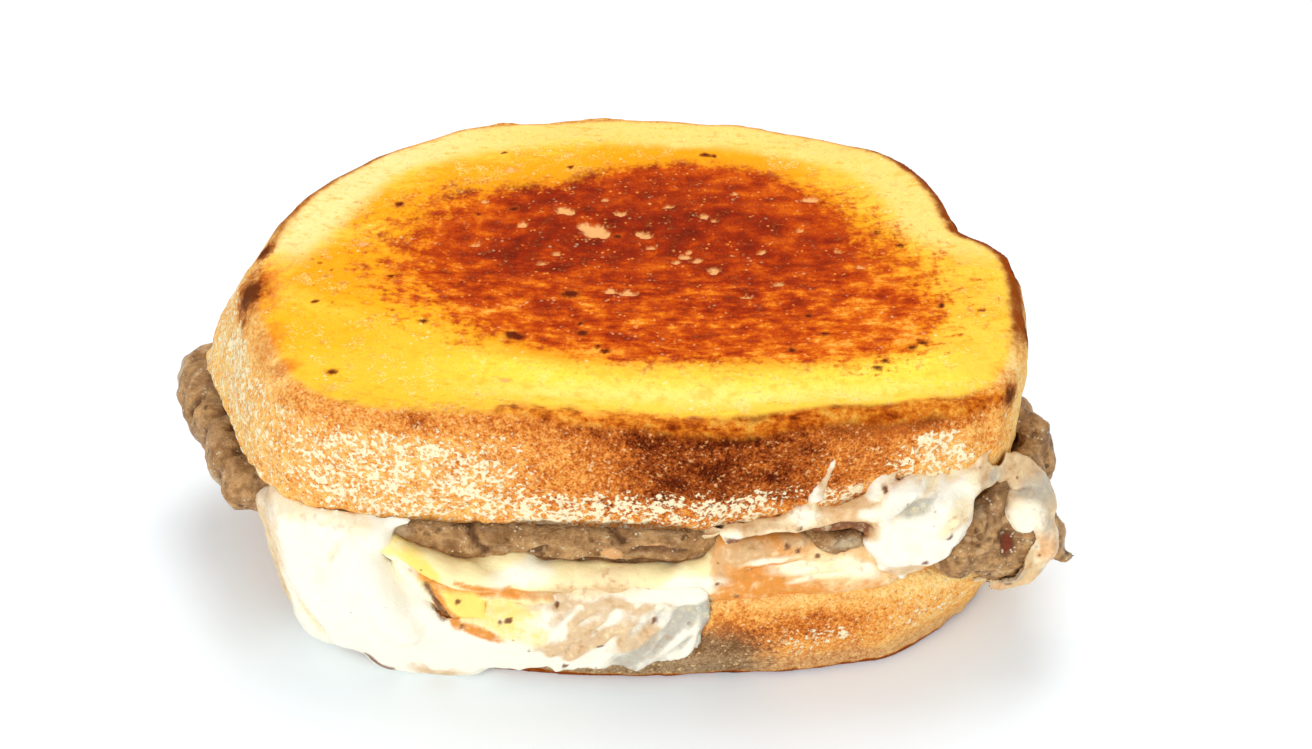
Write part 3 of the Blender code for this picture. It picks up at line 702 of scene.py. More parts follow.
# Small pale dots on the buttered face: painted glints of wet butter.
wet = bread.ramp(bread.cells(1.6, shift=5) + sugar * 0.05, 0.26, 0.12) * bread.ramp(bread.grain(5, shift=41), 0.15, 0.5)
face = bread.mix(wet * (1 - browned * 0.5) * 0.5, face, tint(255, 244, 188))
# Open bubbles: pale crumb in their middles, ringed at their rims by painted shade in a deeper orange-brown.
face = bread.mix(open_crumb_and_rim_shade * 0.85, face, bread.mix(open_crumb_and_rim_shade, tint(206, 96, 24), tint(250, 190, 120)))

# %% Colours of the crust
tone = bread.read("crust_tone") + mottle * 0.13 + crumb * 0.20 + sugar * 0.15 + patches * 0.07
crust = bread.colour_ramp(tone, (
    (0.0, tint(255, 224, 150)), (0.22, tint(250, 192, 106)), (0.40, tint(236, 154, 70)), (0.56, tint(206, 112, 42)),
    (0.72, tint(158, 76, 26)), (0.86, tint(116, 46, 12)), (1.0, tint(76, 22, 4)),
))
# Painted shade: duller, greyer tones along the lowest edge of the crust by the table.
bottom_rim_shade_share = bread.ramp(bread.read("low_crust") + mottle * 0.2, 0.1, 1.0)
bottom_rim_shade_tones = bread.mix(bread.ramp(tone, 0.1, 0.8), tint(226, 184, 128), tint(160, 100, 56))
crust = bread.mix(bottom_rim_shade_share * 0.75, crust, bottom_rim_shade_tones)
# Painted shade: grey-brown on the lower left of the crust, under the smear.
greyed = bread.ramp(bread.read("greyed") + mottle * 0.2 + crumb * 0.15, 0.1, 0.95)
crust = bread.mix(greyed * 0.85, crust, bread.mix(bread.ramp(tone, 0.2, 0.7), tint(170, 148, 116), tint(112, 88, 58)))
crust = bread.mix(singe * 0.5, crust, tint(196, 104, 38))
flour_field = bread.read("flour")
dust = bread.grain(0.8, detail=1.5, rough=0.6, shift=21) * 0.95 + bread.grain(2.6, detail=2.0, rough=0.6, shift=17) * 0.55
floury = bread.ramp(dust + flour_field * 0.95, 0.70, 1.2) * bread.ramp(flour_field, 0.0, 0.2)
crust = bread.mix(floury * 0.94, crust, tint(255, 241, 200))
sparkle = bread.ramp(bread.grain(0.75, detail=1.5, shift=25) + mottle * 0.2, 0.30, 0.95)
crust = bread.mix(sparkle * 0.75, crust, bread.mix(bread.ramp(tone, 0.5, 0.95), tint(253, 214, 156), tint(228, 156, 88)))

# %% Browned bread, put together
colour = bread.mix(on_face_mask, crust, face)
line = bread.ramp(bread.read("front_edge") + streaks * 0.30 + mottle * 0.25, 0.05, 1.0)
line_tone = bread.colour_ramp(streaks * 0.4 + hairs * 0.25 + crumb * 0.2 + mottle * 0.2 + 0.42, (
    (0.1, tint(248, 178, 70)), (0.4, tint(222, 124, 30)), (0.62, tint(176, 78, 12)), (0.9, tint(112, 40, 4)),
))
colour = bread.mix(line * 0.9, colour, line_tone)
back_line = bread.ramp(bread.read("back_edge") + mottle * 0.2 + crumb * 0.1, 0.1, 1.0)
colour = bread.mix(back_line, colour, bread.mix(back_line, tint(240, 166, 66), tint(146, 68, 16)))
scorch_field = bread.read("scorch") + crumb * 0.20 + mottle * 0.14
colour = bread.mix(bread.ramp(scorch_field, -0.1, 0.35) * bread.ramp(bread.read("scorch"), 0.0, 0.1) * 0.6, colour, tint(176, 78, 12))
burnt = bread.ramp(scorch_field, 0.12, 0.62)
colour = bread.mix(burnt * 0.9, colour, bread.mix(on_face_mask, tint(92, 40, 12), tint(84, 14, 0)))
colour = bread.mix(bread.read("gap_shade") * 0.75, colour, tint(92, 46, 14))
bread.set("Base Color", colour)
bread.set("Roughness", 0.8 - on_face_mask * (0.3 + buttered * 0.2) + floury * 0.15)
relief = (crumb * 0.45 + floury * 0.35 + sugar * 0.15 + bread.grain(1.6, shift=30) * 0.35) * (1 - on_face_mask * 0.72)
bread.bump(relief, 0.42)
place_piece(top_slice, "bread_top", bread)

# %% [markdown]
# ## The lower slice
# It is the same loaf, seen only by its crust, which is paler and floury at the right. Painted
# shade greys its lowest edge by the table and its lower left under the smear. Its underside lay on
# the pan too and is browned like the upper face, and its upper face is soft crumb under the cheese.

# %% Lower slice
BOTTOM_SLICE_VOXEL = 0.72
lower_form = merged_copy("bread_bottom")
lower_slice = skin_from(lower_form, "lower_slice", BOTTOM_SLICE_VOXEL, 5)
places, normals = points_of(lower_slice.data), normals_of(lower_slice.data)
x, y, z = places.T
under = z < 1.2
rim = outline_distance(places, 3.0, 4.0)
ledge = np.where(under, rim - 1.0, -z)
on_crust = ease(np.abs(normals[:, 2]), 0.85, 0.6)
on_face = ease(ledge, 0.2, 2.0) * under
push = on_crust * (0.6 * cloud(places, 12, 25) + 0.36 * cloud(places, 5.0, 26) + 0.18 * cloud(places, 2.0, 27))
push += on_face * 0.08 * cloud(places, 3, 28)
moved = places + normals * push[:, None]
turned_away = ease(x, 44, 62) * ease(y, -16, -40)
moved[:, 1] += (1.6 + 5.6 * ease(z, 16, 0)) * turned_away
moved[:, 0] -= 1.8 * ease(z, 14, 0) * ease(x, 56, 66) * ease(y, 4, -30)
moved[:, 2] = np.maximum(moved[:, 2], 0.02)
set_points(lower_slice.data, moved)
toast = oval(places, 0, 2, 54, 36, 0) + 0.06 * cloud(places, 14, 29)
nothing = np.zeros(len(x))
BOTTOM_FIELDS = {
    "on_face": on_face, "ledge": ledge, "toast": toast, "toast_core": 0.8 * toast, "lemon": nothing,
    "gold": ease(toast, -0.6, -0.1), "pale_rim": ease(rim, 14, 6), "front_edge": nothing, "bubbles": nothing,
    "back_edge": ease(ledge, -2.5, -0.2) * ease(ledge, 1.6, 0.3), "singed": nothing, "fleck": nothing,
    "scorch": np.clip(nearness(places, [(17, -52, 0.6, 3.6, 4, 1.6)]), 0, 1), "gap_shade": nothing,
    "crust_tone": 0.40 - 0.14 * ease(x, 30, 60) - 0.18 * ease(z, 13, 18.5) + 0.16 * front_patches(places, (17, 11, 12, 7, 0), (30, 12.5, 16, 4, 0)),
    # The next two fields place painted shade: along the lowest edge, and at the lower left under the smear.
    "low_crust": ease(z, 9, 1.5), "greyed": ease(x, 34, 10) * ease(z, 18, 7) * ease(y, -20, -40) * 1.3,
    "flour": np.clip(0.9 * nearness(places, [(33, -50, 9, 14, 14, 6.5), (53, -46, 11, 12, 14, 8),
                                             (0, 50, 10, 60, 20, 9)]), 0, 1),
}
for name, values in BOTTOM_FIELDS.items():
    write_field(lower_slice, name, values)
place_piece(lower_slice, "bread_bottom", bread)

# %% [markdown]
# ## The patty: its shape
# A hand-pressed patty of coarse meat sticks out between the slices: three folded lobes on the
# left, a crumbly wet face along the front and loose crumbles at the right. Cellular noise gives the
# crumbs and the creases between them; the folds of the lobes are pressed in along lines.

# %% Patty
PATTY_VOXEL = 0.62
patty_form = merged_copy("patty")
swell(patty_form, 0.15)
run(patty_form, (66, -27, 41, 2.4), (69.5, -27, 40, 2.8), (72, -27, 38, 3.0), (73, -27, 34, 3.4), (73.4, -28, 29, 3.6))
run(patty_form, (68, -22, 38, 4.0), (71, -20, 33, 4.0), (70.5, -16, 29, 4.0), (70, -34, 34, 3.6), (72, -33, 27, 3.6))
run(patty_form, (72.4, -38.5, 24, 2.6), (74.5, -39.5, 21, 2.2), (77.0, -39.5, 19.0, 1.7), (79.2, -39.5, 18.7, 0.9))
run(patty_form, (59, -44.5, 30, 3.0), (61.5, -43.5, 33.5, 2.6), (64, -42, 36, 2.2), (62, -44, 25, 3.2), (61, -44.6, 21.5, 2.2))
run(patty_form, (66.0, -39.5, 24, 3.0), (66.5, -39, 29, 2.6), (64.5, -39.5, 36.5, 2.4))
patty = skin_from(patty_form, "patty_meat", PATTY_VOXEL, 3)
places, normals = points_of(patty.data), normals_of(patty.data)
x, y, z = places.T
side = ease(np.abs(normals[:, 2]), 0.97, 0.7)
creases = lines_beside(
    places,
    (2.2, (-90, -5, 34), (-86, -7, 28), (-84, -9, 23)),
    (1.8, (-82, -9, 33), (-86, -13, 29), (-84, -14, 23)),
    (2.0, (-76, -13, 33), (-81, -18, 29), (-81, -19, 22)),
    (1.8, (-74, -19, 33), (-79, -23, 27), (-78, -24, 22)),
    (2.2, (-72, -26, 33), (-76, -29, 28), (-75, -30, 22)),
    (1.6, (-88, 1, 33), (-84, 4, 33), (-80, 2, 33)),
    (1.6, (64.5, -45, 28.5), (66.2, -44, 26.5), (66.0, -43.5, 24.5)),
)
creases = np.maximum(creases, front_lines(
    places,
    (1.3, (-29, 33), (-27.6, 29.4), (-26, 28)),
    (1.4, (-18, 27.4), (-15.6, 29.2)),
    (0.9, (-22, 27.0), (-12, 25.8), (-2, 25.6), (6, 26.0)),
    (1.1, (0, 28.4), (5, 29.2), (9, 28.8)),
    (1.3, (-4, 32.6), (-2, 30.6)),
))
lumps, grains = crumbs(places + 1.2 * cloud(places, 3, 44)[:, None], 4.4, 41), crumbs(places, 1.9, 42)
calm = 1 - 0.35 * ease(y, -40, -47) * ease(x, 40, 20) - 0.55 * ease(x, -66, -72)
push = side * (0.6 * cloud(places, 7, 40) + 0.45 * cloud(places, 2.8, 45) + 0.20 * cloud(places, 1.2, 43))
push += side * calm * (0.55 * (0.55 - lumps) + 0.28 * (0.55 - grains))
push += (1 - side) * (0.25 * (0.5 - lumps) + 0.15 * (0.5 - grains))
push -= 1.1 * creases
set_points(patty.data, places + normals * push[:, None])
# Painted shade: deeper in the creases and between crumbs, deepest in a hole at the right corner.
dark = np.clip(0.9 * creases + calm * (0.5 * ease(lumps, 0.6, 1.0) + 0.3 * ease(grains, 0.65, 1.0)), 0, 1)
dark = np.maximum(dark, np.clip(4 * nearness(places, [(65.8, -42, 26.4, 2.0, 9, 3.8)]), 0, 2))
shaded = ease(z, 31.0, 33.5) * ease(y, -30, -40) + 0.7 * ease(z, 27, 24) * ease(x, -62, -70)
shaded += 1.6 * np.clip(nearness(places, [(65.7, -41, 26.4, 2.6, 9, 3.6), (61.5, -43, 38, 2.0, 8, 2.0)]), 0, 1)
fat = np.clip(nearness(places, [
    (-42, -48, 31.5, 4.5, 4, 2.2), (-88.5, 3, 29, 3, 6, 5), (-86, -10, 25, 5, 4, 2.5), (-78, -28, 26, 3.5, 4, 3),
    (75, -14, 34, 3, 12, 4), (79, -39.5, 20, 3, 3, 2.5), (13, -50, 27, 4, 3, 1.6), (37, -51, 31, 4.5, 4, 2.2),
    (60, -45, 34, 2.5, 3, 2.5), (-76, -32, 24, 5, 4, 3),
]), 0, 1)
peach = np.clip(nearness(places, [(-4, -51, 27.4, 2.8, 3, 2.4), (4.5, -51, 29.4, 3.2, 3, 1.3), (63.4, -40, 34, 2.4, 12, 3.4), (72.6, -41, 25.6, 4, 6, 4)]), 0, 1)
for name, values in {"dark": dark, "shaded": np.clip(shaded, 0, 1), "fat": fat, "peach": peach}.items():
    write_field(patty, name, values)
print("creases cover", round(100 * float(np.mean(creases > 0.3)), 1), "percent of the patty")

# %% [markdown]
# ## The finish of cooked meat
# Steamed meat is grey-brown rather than black: tan crumbs, pale flecks of fat that let light
# through, painted shade in its creases, hollows and one deep hole, and small painted wet glints.
# The crumbs' own pattern sets where the painted crease shade falls, so colour and relief agree.

# %% Cooked meat
meat = Finish("cooked_meat", Specular_IOR_Level=0.35, Subsurface_Weight=0.08, Subsurface_Scale=0.001)
tone = meat.grain(5, detail=3.0) * 0.5 + meat.grain(1.6, detail=3.0, rough=0.6, shift=3) * 0.6
colour = meat.mix(meat.ramp(tone, -0.6, 0.7), tint(150, 104, 54), tint(212, 164, 106))
fibre = meat.grain(1.0, (4, 4, 0.7), 2.0, shift=7)
colour = meat.mix(meat.ramp(fibre, 0.1, 1.0) * 0.5, colour, tint(214, 176, 128))
speckle = meat.grain(0.6, detail=3.0, rough=0.7, shift=9)
colour = meat.mix(meat.ramp(speckle, -0.1, -0.9) * 0.6, colour, tint(126, 80, 36))
colour = meat.mix(meat.ramp(speckle, 0.25, 1.0) * 0.6, colour, tint(234, 200, 152))
colour = meat.mix(meat.ramp(meat.read("fat") + tone * 0.2, 0.1, 0.7) * 0.75, colour, tint(208, 186, 150))
colour = meat.mix(meat.ramp(meat.read("peach") + speckle * 0.1, 0.1, 0.4), colour, tint(236, 178, 116))
colour = meat.mix(meat.ramp(meat.read("shaded") + speckle * 0.1, 0.1, 1.1) * 0.6, colour, tint(116, 76, 38))
# Painted shade in the creases, and a deeper red-brown painted shade in the hole.
colour = meat.mix(meat.ramp(meat.read("dark") + speckle * 0.12, 0.15, 1.0) * 0.8, colour, tint(92, 50, 18))
colour = meat.mix(meat.ramp(meat.read("dark"), 1.05, 1.7), colour, tint(122, 46, 0))
bits = meat.ramp(meat.cells(2.3, shift=21) + speckle * 0.08, 0.42, 0.18)
colour = meat.mix(bits * meat.ramp(meat.grain(4, shift=31), -0.2, 0.4) * 0.55, colour, tint(226, 188, 138))
# Small pits are pressed in by the bump and given painted shade.
pits_with_painted_shade = meat.ramp(meat.cells(2.9, shift=25) + speckle * 0.1, 0.30, 0.12) * meat.ramp(meat.grain(5, shift=35), -0.1, 0.4)
colour = meat.mix(pits_with_painted_shade * 0.75, colour, tint(96, 56, 22))
# Small drops of juice: the bump and the lower roughness are real, and their near-white colour is a painted highlight.
drops_with_painted_glints = meat.ramp(meat.cells(1.0, shift=3) + speckle * 0.08, 0.32, 0.16) * meat.ramp(meat.grain(3.2, shift=14), -0.1, 0.4)
colour = meat.mix(drops_with_painted_glints * 0.75, colour, tint(246, 226, 190))
meat.set("Base Color", colour)
meat.set("Roughness", 0.48 + tone * 0.1 - drops_with_painted_glints * 0.25)
meat.bump(tone * 0.4 + speckle * 0.35 + drops_with_painted_glints * 0.4 - pits_with_painted_shade * 0.8, 0.5)
place_piece(patty, "patty", meat)

# %% [markdown]
# ## Melted cheese and white sauce: one way of working
# Cheese and sauce are both soft and run into each other, so one recipe serves both. Their solids
# are swollen a little, which closes the thin gap to the bread and the meat, extra strokes are melted
# in for folds, strings and drips, and grooves are pressed along lines. The finish starts from one
# colour and lays others over it where fields of the vertices say: lemon, orange, tan, grey, brown.

# %% Melted food
def melted(name, base, shadow_tone):
    """A glossy, slightly translucent finish whose other colours are laid on by the piece's fields."""
    food = Finish(name, Specular_IOR_Level=0.32, Subsurface_Weight=0.18, Subsurface_Scale=0.0012)
    broad, fine = food.grain(6, detail=2.0), food.grain(1.3, detail=2.0, shift=5)
    tiny = food.grain(0.5, detail=1.0, shift=9)
    colour = food.mix(food.ramp(broad + fine * 0.3, 0.0, 1.2) * 0.5, base, shadow_tone)
    stained = food.highest(food.read("tan"), food.read("cream"), food.read("grey"), food.read("orange"))
    edge = broad * 0.22 + fine * 0.20 + tiny * 0.05
    for field, reach, hue in (
        ("cream", 0.8, tint(248, 222, 172)), ("lemon", 0.85, tint(255, 219, 96)), ("orange", 0.95, tint(224, 138, 30)),
        ("tan", 0.85, tint(214, 176, 126)), ("grey", 0.85, tint(176, 170, 156)), ("white", 0.95, tint(254, 246, 222)),
        ("brown", 0.95, tint(116, 56, 10)),
    ):
        strength = food.read(field)
        colour = food.mix(food.ramp(strength + edge, 0.05, 1.0) * food.ramp(strength, 0.0, 0.25) * reach, colour, hue)
    clots = food.grain(1.7, detail=3.0, rough=0.6, shift=13)
    colour = food.mix(food.ramp(clots, 0.0, 0.9) * stained * 0.45, colour, tint(254, 234, 184))
    colour = food.mix(food.ramp(clots, -0.05, -0.9) * stained * 0.6, colour, tint(190, 132, 66))
    pepper = food.ramp(food.cells(3.6, shift=7), 0.13, 0.07) * food.ramp(food.grain(5, shift=19), 0.05, 0.4)
    colour = food.mix(pepper * 0.85, colour, tint(140, 92, 48))
    food.set("Base Color", colour)
    food.set("Roughness", 0.34 + broad * 0.06 + food.read("tan") * 0.12)
    food.bump(fine * 0.3 + tiny * 0.15, 0.16)
    return food


def write_fields(piece, fields):
    for name in ("cream", "lemon", "orange", "tan", "grey", "white", "brown"):
        write_field(piece, name, fields.get(name, np.zeros(len(piece.data.vertices))))


print("melted foods: two, of seven colour fields each")

# %% [markdown]
# ## The cheese
# A slice of yellow cheese melted over the lower slice. It is bright lemon where it comes out beside
# the white heap, with an orange fold under it, and turns tan and cream where it ran thin over the
# crust at the right.

# %% Cheese
CHEESE_VOXEL = 0.62
cheese_form = merged_copy("cheese")
swell(cheese_form, 0.38)
run(cheese_form, (-45, -48.0, 30, 1.8), (-41, -49.2, 28, 2.6), (-37, -50.2, 26, 3.0), (-30, -51.0, 24, 3.0), (-24, -51.4, 23.2, 2.6))
cling(cheese_form, 1.6, (-31, 23, 2.6), (-21.5, 24.0, 3.6), (-16, 22.8, 3.0), (-6, 23.0, 3.2), (4, 23, 3.4), (13, 23, 3.0))
cling(cheese_form, 1.3, (-20, 19.5, 3.0), (-8, 19.0, 3.4), (3, 19.0, 3.2), (8.5, 19.8, 2.2))
cling(cheese_form, 0.55, (14, 21.4, 5.0), (24, 21.4, 5.6), (34, 21.0, 5.6), (43, 20.6, 4.6))
cling(cheese_form, 0.9, (16, 26.5, 3.6), (26, 27, 4.0), (38, 26, 4.0), (44, 23, 3.4))
cling(cheese_form, 1.0, (31, 28.8, 2.2), (36, 28.4, 2.4), (41, 28.8, 2.4))
cling(cheese_form, 1.9, (4, 24.2, 1.6), (9, 25.2, 2.2), (12.5, 26.2, 2.0), (14.5, 25.0, 1.6))
cheese = skin_from(cheese_form, "melted_cheese", CHEESE_VOXEL, 6)
places, normals = points_of(cheese.data), normals_of(cheese.data)
folds = front_lines(
    places,
    (1.6, (-41, 26.5), (-36, 23.3), (-30, 21.2), (-23, 20.9), (-10, 20.2)),
    (1.5, (-36.9, 21.6), (-36, 19), (-33.6, 14.6)),
    (1.2, (20, 26), (30, 26.8), (41, 25)),
)
push = 0.55 * cloud(places, 8, 51) + 0.40 * cloud(places, 3.2, 52) + 0.16 * cloud(places, 1.5, 53) - 0.9 * folds
set_points(cheese.data, places + normals * push[:, None])
x, y, z = places.T
right = ease(x, 12, 16) * ease(y, -26, -36)
creamy = front_patches(places, (29.5, 25.4, 7.5, 1.8, -4), (38, 24.8, 7.0, 3.2, -16), (33, 23.0, 8, 1.2, 0), (24, 28.6, 6, 1.2, 0))
write_fields(cheese, {
    "lemon": np.maximum(1.3 * front_patches(places, (-38.5, 26.0, 8, 3.6, -38), (-28, 17, 10, 4, -35)), 0.08 * (1 - right)),
    "orange": np.maximum(
        front_lines(places, (1.0, (-31, 24.6), (-28.5, 23.4), (-22, 22.6)), (2.0, (-41, 25.8), (-35, 22.4), (-27, 20.8), (-14, 20.4)), (1.6, (-35.2, 20.5), (-33, 16), (-29, 12.6))),
        right * (1 - 0.85 * creamy) * (1.05 - 0.45 * ease(x, 24, 34) + 0.3 * cloud(places, 3.5, 57))),
    "cream": np.maximum(1.3 * front_patches(places, (-5, 23.0, 14, 3.6, 0)), right * 0.7),
    "tan": np.maximum(front_patches(places, (-4, 19.4, 17, 2.4, 0), (-12, 20.8, 10, 2.2, 0), (-7, 21.8, 12, 2.4, -3)),
                      right * front_patches(places, (20, 30.5, 9, 3, 0), (14, 27, 4, 5, 0), (39, 31, 5, 3, 0), (30, 32, 8, 1.6, 0))),
    "white": np.maximum.reduce([
        front_patches(places, (-20.5, 24.6, 8, 2.8, 2), (9.5, 24, 9, 3.6, 5)), 0.75 * right * creamy,
        front_lines(places, (3.4, (-42, 27), (-39, 20), (-36, 15), (-30, 10.5), (-24, 9))),
    ]),
    "brown": np.maximum(
        # The slit beside the heap is painted shade; the specks are real brown spots.
        front_lines(places, (1.3, (-36.7, 21.6), (-35.8, 19), (-33.8, 14.8))),
        specks(places, (-31.2, 18.9, 0.8), (-27, 21.2, 0.6), (-23.8, 15.1, 0.8), (-22.5, 15.3, 0.9), (26.5, 31.4, 0.8), (28.5, 30.4, 0.7),
               (32, 28.4, 0.8), (14.5, 24, 0.7), (18, 20.5, 0.7), (20.4, 26.2, 0.7), (-30.5, 13.6, 0.7))),
})
place_piece(cheese, "cheese", melted("yellow_cheese", tint(254, 234, 176), tint(250, 214, 132)))

# %% [markdown]
# ## The white sauce
# A thick creamy sauce fills the sandwich. It spills at the left as a heap that reaches the table,
# is smeared down over the lower slice, hangs from under the upper slice at the right as a sheet
# with a string pulled up the crust, swells into a blob and wraps the corner as a ribbon.

# %% Sauce
SAUCE_VOXEL = 0.62
sauce_form = merged_copy("sauce")
swell(sauce_form, 0.38)
run(sauce_form, (-59, -42, 28, 5.6), (-55, -44.5, 19, 7.2), (-51, -45, 10, 7.4), (-45, -46.5, 7, 5.6))
run(sauce_form, (-49, -48, 29, 4.2), (-46, -49, 20, 4.6), (-41, -50, 12, 4.6))
cling(sauce_form, 1.3, (-46, 33, 3.0), (-42.5, 33.8, 2.2), (-39.5, 34.6, 1.2))
cling(sauce_form, 1.6, (-30, 13.0, 2.8), (-25, 14.6, 3.6), (-20, 16.0, 3.8), (-16, 15.5, 3.2))
cling(sauce_form, 1.4, (-41, 23.5, 2.2), (-39, 18.5, 2.8), (-36.5, 14, 3.4), (-32, 10.0, 3.4))
cling(sauce_form, 0.9, (-28, 18.6, 2.2), (-20, 19.0, 2.4), (-10, 19.2, 2.2))
cling(sauce_form, 1.0, (15.6, 35.2, 1.3), (16.2, 34.4, 1.5), (16.4, 32.6, 1.1), (15.8, 31.0, 0.8))
cling(sauce_form, 0.5, (16.2, 34.8, 1.4), (20.0, 35.2, 1.4), (24.5, 35.4, 1.6), (30.0, 36.0, 2.0), (36.0, 37.2, 1.4), (41, 38, 2.0))
cling(sauce_form, 0.7, (25.0, 36.6, 1.2), (30.0, 37.2, 1.8), (33.0, 37.4, 1.6))
cling(sauce_form, 1.4, (29.4, 37.0, 1.8), (30.4, 39.2, 1.5))
cling(sauce_form, 0.9, (30.4, 39.0, 1.4), (31.4, 41.4, 1.1), (32.7, 45.0, 0.85), (34.0, 48.6, 0.6))
cling(sauce_form, 0.45, (42.0, 41.5, 1.6), (44.0, 45.0, 1.3), (48.5, 46.5, 1.6), (54.0, 46.5, 1.6), (58.0, 46.0, 1.4))
cling(sauce_form, 2.6, (44.0, 24.6, 1.8), (46.5, 23.4, 2.2), (49.5, 23.8, 2.0), (51.5, 26.0, 1.6))
cling(sauce_form, 1.4, (46.5, 22.4, 1.6), (47.6, 20.4, 1.0))
cling(sauce_form, 3.0, (43.0, 38.5, 3.0), (43.6, 33.0, 3.8), (46.5, 30.0, 4.2), (52.0, 30.2, 4.4), (54.4, 34.5, 4.2))
cling(sauce_form, 3.6, (48.0, 34.5, 5.0), (51.5, 37.5, 4.8), (53.5, 40.0, 3.6), (48.0, 40.0, 3.2))
cling(sauce_form, 1.2, (54.0, 42.0, 2.6), (58.0, 42.5, 1.8), (61.0, 45.0, 1.3), (64.0, 48.5, 0.9), (65.0, 51.0, 0.7))
cling(sauce_form, 0.7, (53.0, 45.0, 1.4), (59.0, 46.0, 1.2), (63.5, 50.0, 0.9))
run(sauce_form, (65.0, -40.0, 42.6, 1.2), (67.0, -38.5, 40.4, 1.5), (69.5, -37.6, 38.6, 1.2), (72.6, -36.4, 36.0, 0.9))
run(sauce_form, (66.4, -41.0, 31.5, 2.4), (68.8, -41.4, 31.0, 3.2), (71.0, -40.6, 31.2, 2.4))
run(sauce_form, (71.0, -40.4, 26.0, 1.6), (70.5, -41.0, 22.5, 1.7), (68.5, -42.0, 19.0, 1.2))
run(sauce_form, (78.5, -39.0, 18.6, 0.7), (75.0, -40.2, 18.8, 1.1), (70.0, -41.6, 17.4, 1.4), (65.5, -42.8, 16.6, 1.3), (61, -45, 17.5, 1.0))
sauce = skin_from(sauce_form, "white_sauce", SAUCE_VOXEL, 6)
places, normals = points_of(sauce.data), normals_of(sauce.data)
x, y, z = places.T
smear = ease(x, -30, -18) * ease(x, 16, 12) * ease(z, 21, 18) * ease(y, -40, -46)
yolk = ease(x, -40, -34) * ease(x, -12, -17) * ease(y, -40, -46) * ease(z, 21.5, 19.5)
slanted = np.stack([(x * 0.78 - z * 0.62) / 1.5, (x * 0.62 + z * 0.78) / 6.5, y / 5], axis=1)
ribs = cloud(slanted, 1.0, 66) * ease(x, -24, -10) + 0.5 * cloud(slanted * 2.1, 1.0, 67)
folds = lines_beside(
    places,
    (1.8, (-66, -36, 33), (-60, -44, 33.5), (-55, -47, 32.4), (-48.5, -49.5, 31)),
    (2.4, (-63, -40, 30), (-61.5, -44, 22), (-60, -47, 14), (-56, -49, 8)),
    (1.6, (-52, -51, 32), (-52.6, -51, 29), (-54, -50.5, 27)),
    (1.3, (-26, -55, 19.6), (-14, -56, 19.4), (0, -56, 18.9), (12, -55, 18.6)),
    (1.2, (64.4, -43, 36.4), (66.5, -43, 35.4), (69.5, -42.5, 36.2), (72.6, -41, 34.0)),
)
folds = np.maximum(folds, front_lines(
    places,
    (1.4, (-37.2, 22), (-36.1, 19), (-33.4, 14.6)),
    (1.4, (13.5, 31), (16.8, 31), (19, 33.6), (24, 33.3), (30, 33.7), (36, 36.0), (40.5, 34)),
    (1.5, (42, 40), (44, 45), (47, 47)),
    (1.2, (45, 37), (52.6, 44)), (1.4, (54, 43.5), (58.5, 44.5), (61, 47)),
))
dimple = front_patches(places, (48.5, 39.5, 5.0, 1.7, 38))
push = 0.55 * cloud(places, 11, 62) + 0.25 * cloud(places, 4.5, 63) + 0.07 * cloud(places, 1.8, 64)
rough = ease(x, 8, 16) * ease(z, 20, 26)
push += rough * (0.50 * cloud(places, 3.0, 68) + 0.30 * cloud(places, 1.4, 69))
push += smear * (0.75 * ribs + 0.25 * cloud(places, 2.6, 65)) - 0.85 * folds - 1.0 * dimple
corner = ease(x, 58.5, 61.5)
lump = np.clip(1.5 * nearness(places, [(69, -42, 31, 4.6, 10, 4.6)]), 0, 1)
tanned = corner * np.clip(1.8 * nearness(places, [(73.2, -42, 25.0, 4.4, 9, 5.0), (63.2, -44, 34, 2.0, 6, 3)]), 0, 1)
film = corner * (1 - lump) * (1 - 0.9 * tanned)
sheet = ease(x, 7, 9) * ease(x, 44, 40) * ease(z, 31, 33) * ease(z, 41, 39.5) * ease(y, -26, -36)
milky = front_patches(places, (29.5, 37.4, 3.4, 1.8, 0), (16.6, 33.4, 2.4, 3.4, 20), (40.5, 38, 3.0, 2.0, 0))
push -= sheet * (1 - milky) * (0.75 + 0.7 * cloud(places, 3.6, 76)) + 1.2 * sheet * ease(x, 16, 13)
push -= 0.9 * smear * ease(x, 9, 14)
push += 1.4 * lump - 0.9 * corner * ease(z, 27, 23) - 0.4 * film
moved = places + normals * push[:, None]
hem = np.interp(x, (-33, -13, 1, 8, 12, 16), (3.2, 4.2, 5.2, 7.2, 9.4, 13.0)) + 0.6 * cloud(places, 3.0, 60)
tuck = ease(z - hem, 0.5, -1.0) * ease(x, -30, -20) * ease(x, 22, 18) * ease(y, -44, -48)
moved[:, 1] += 4.5 * tuck
moved[:, 2] = np.maximum(moved[:, 2], 0.03)
set_points(sauce.data, moved)
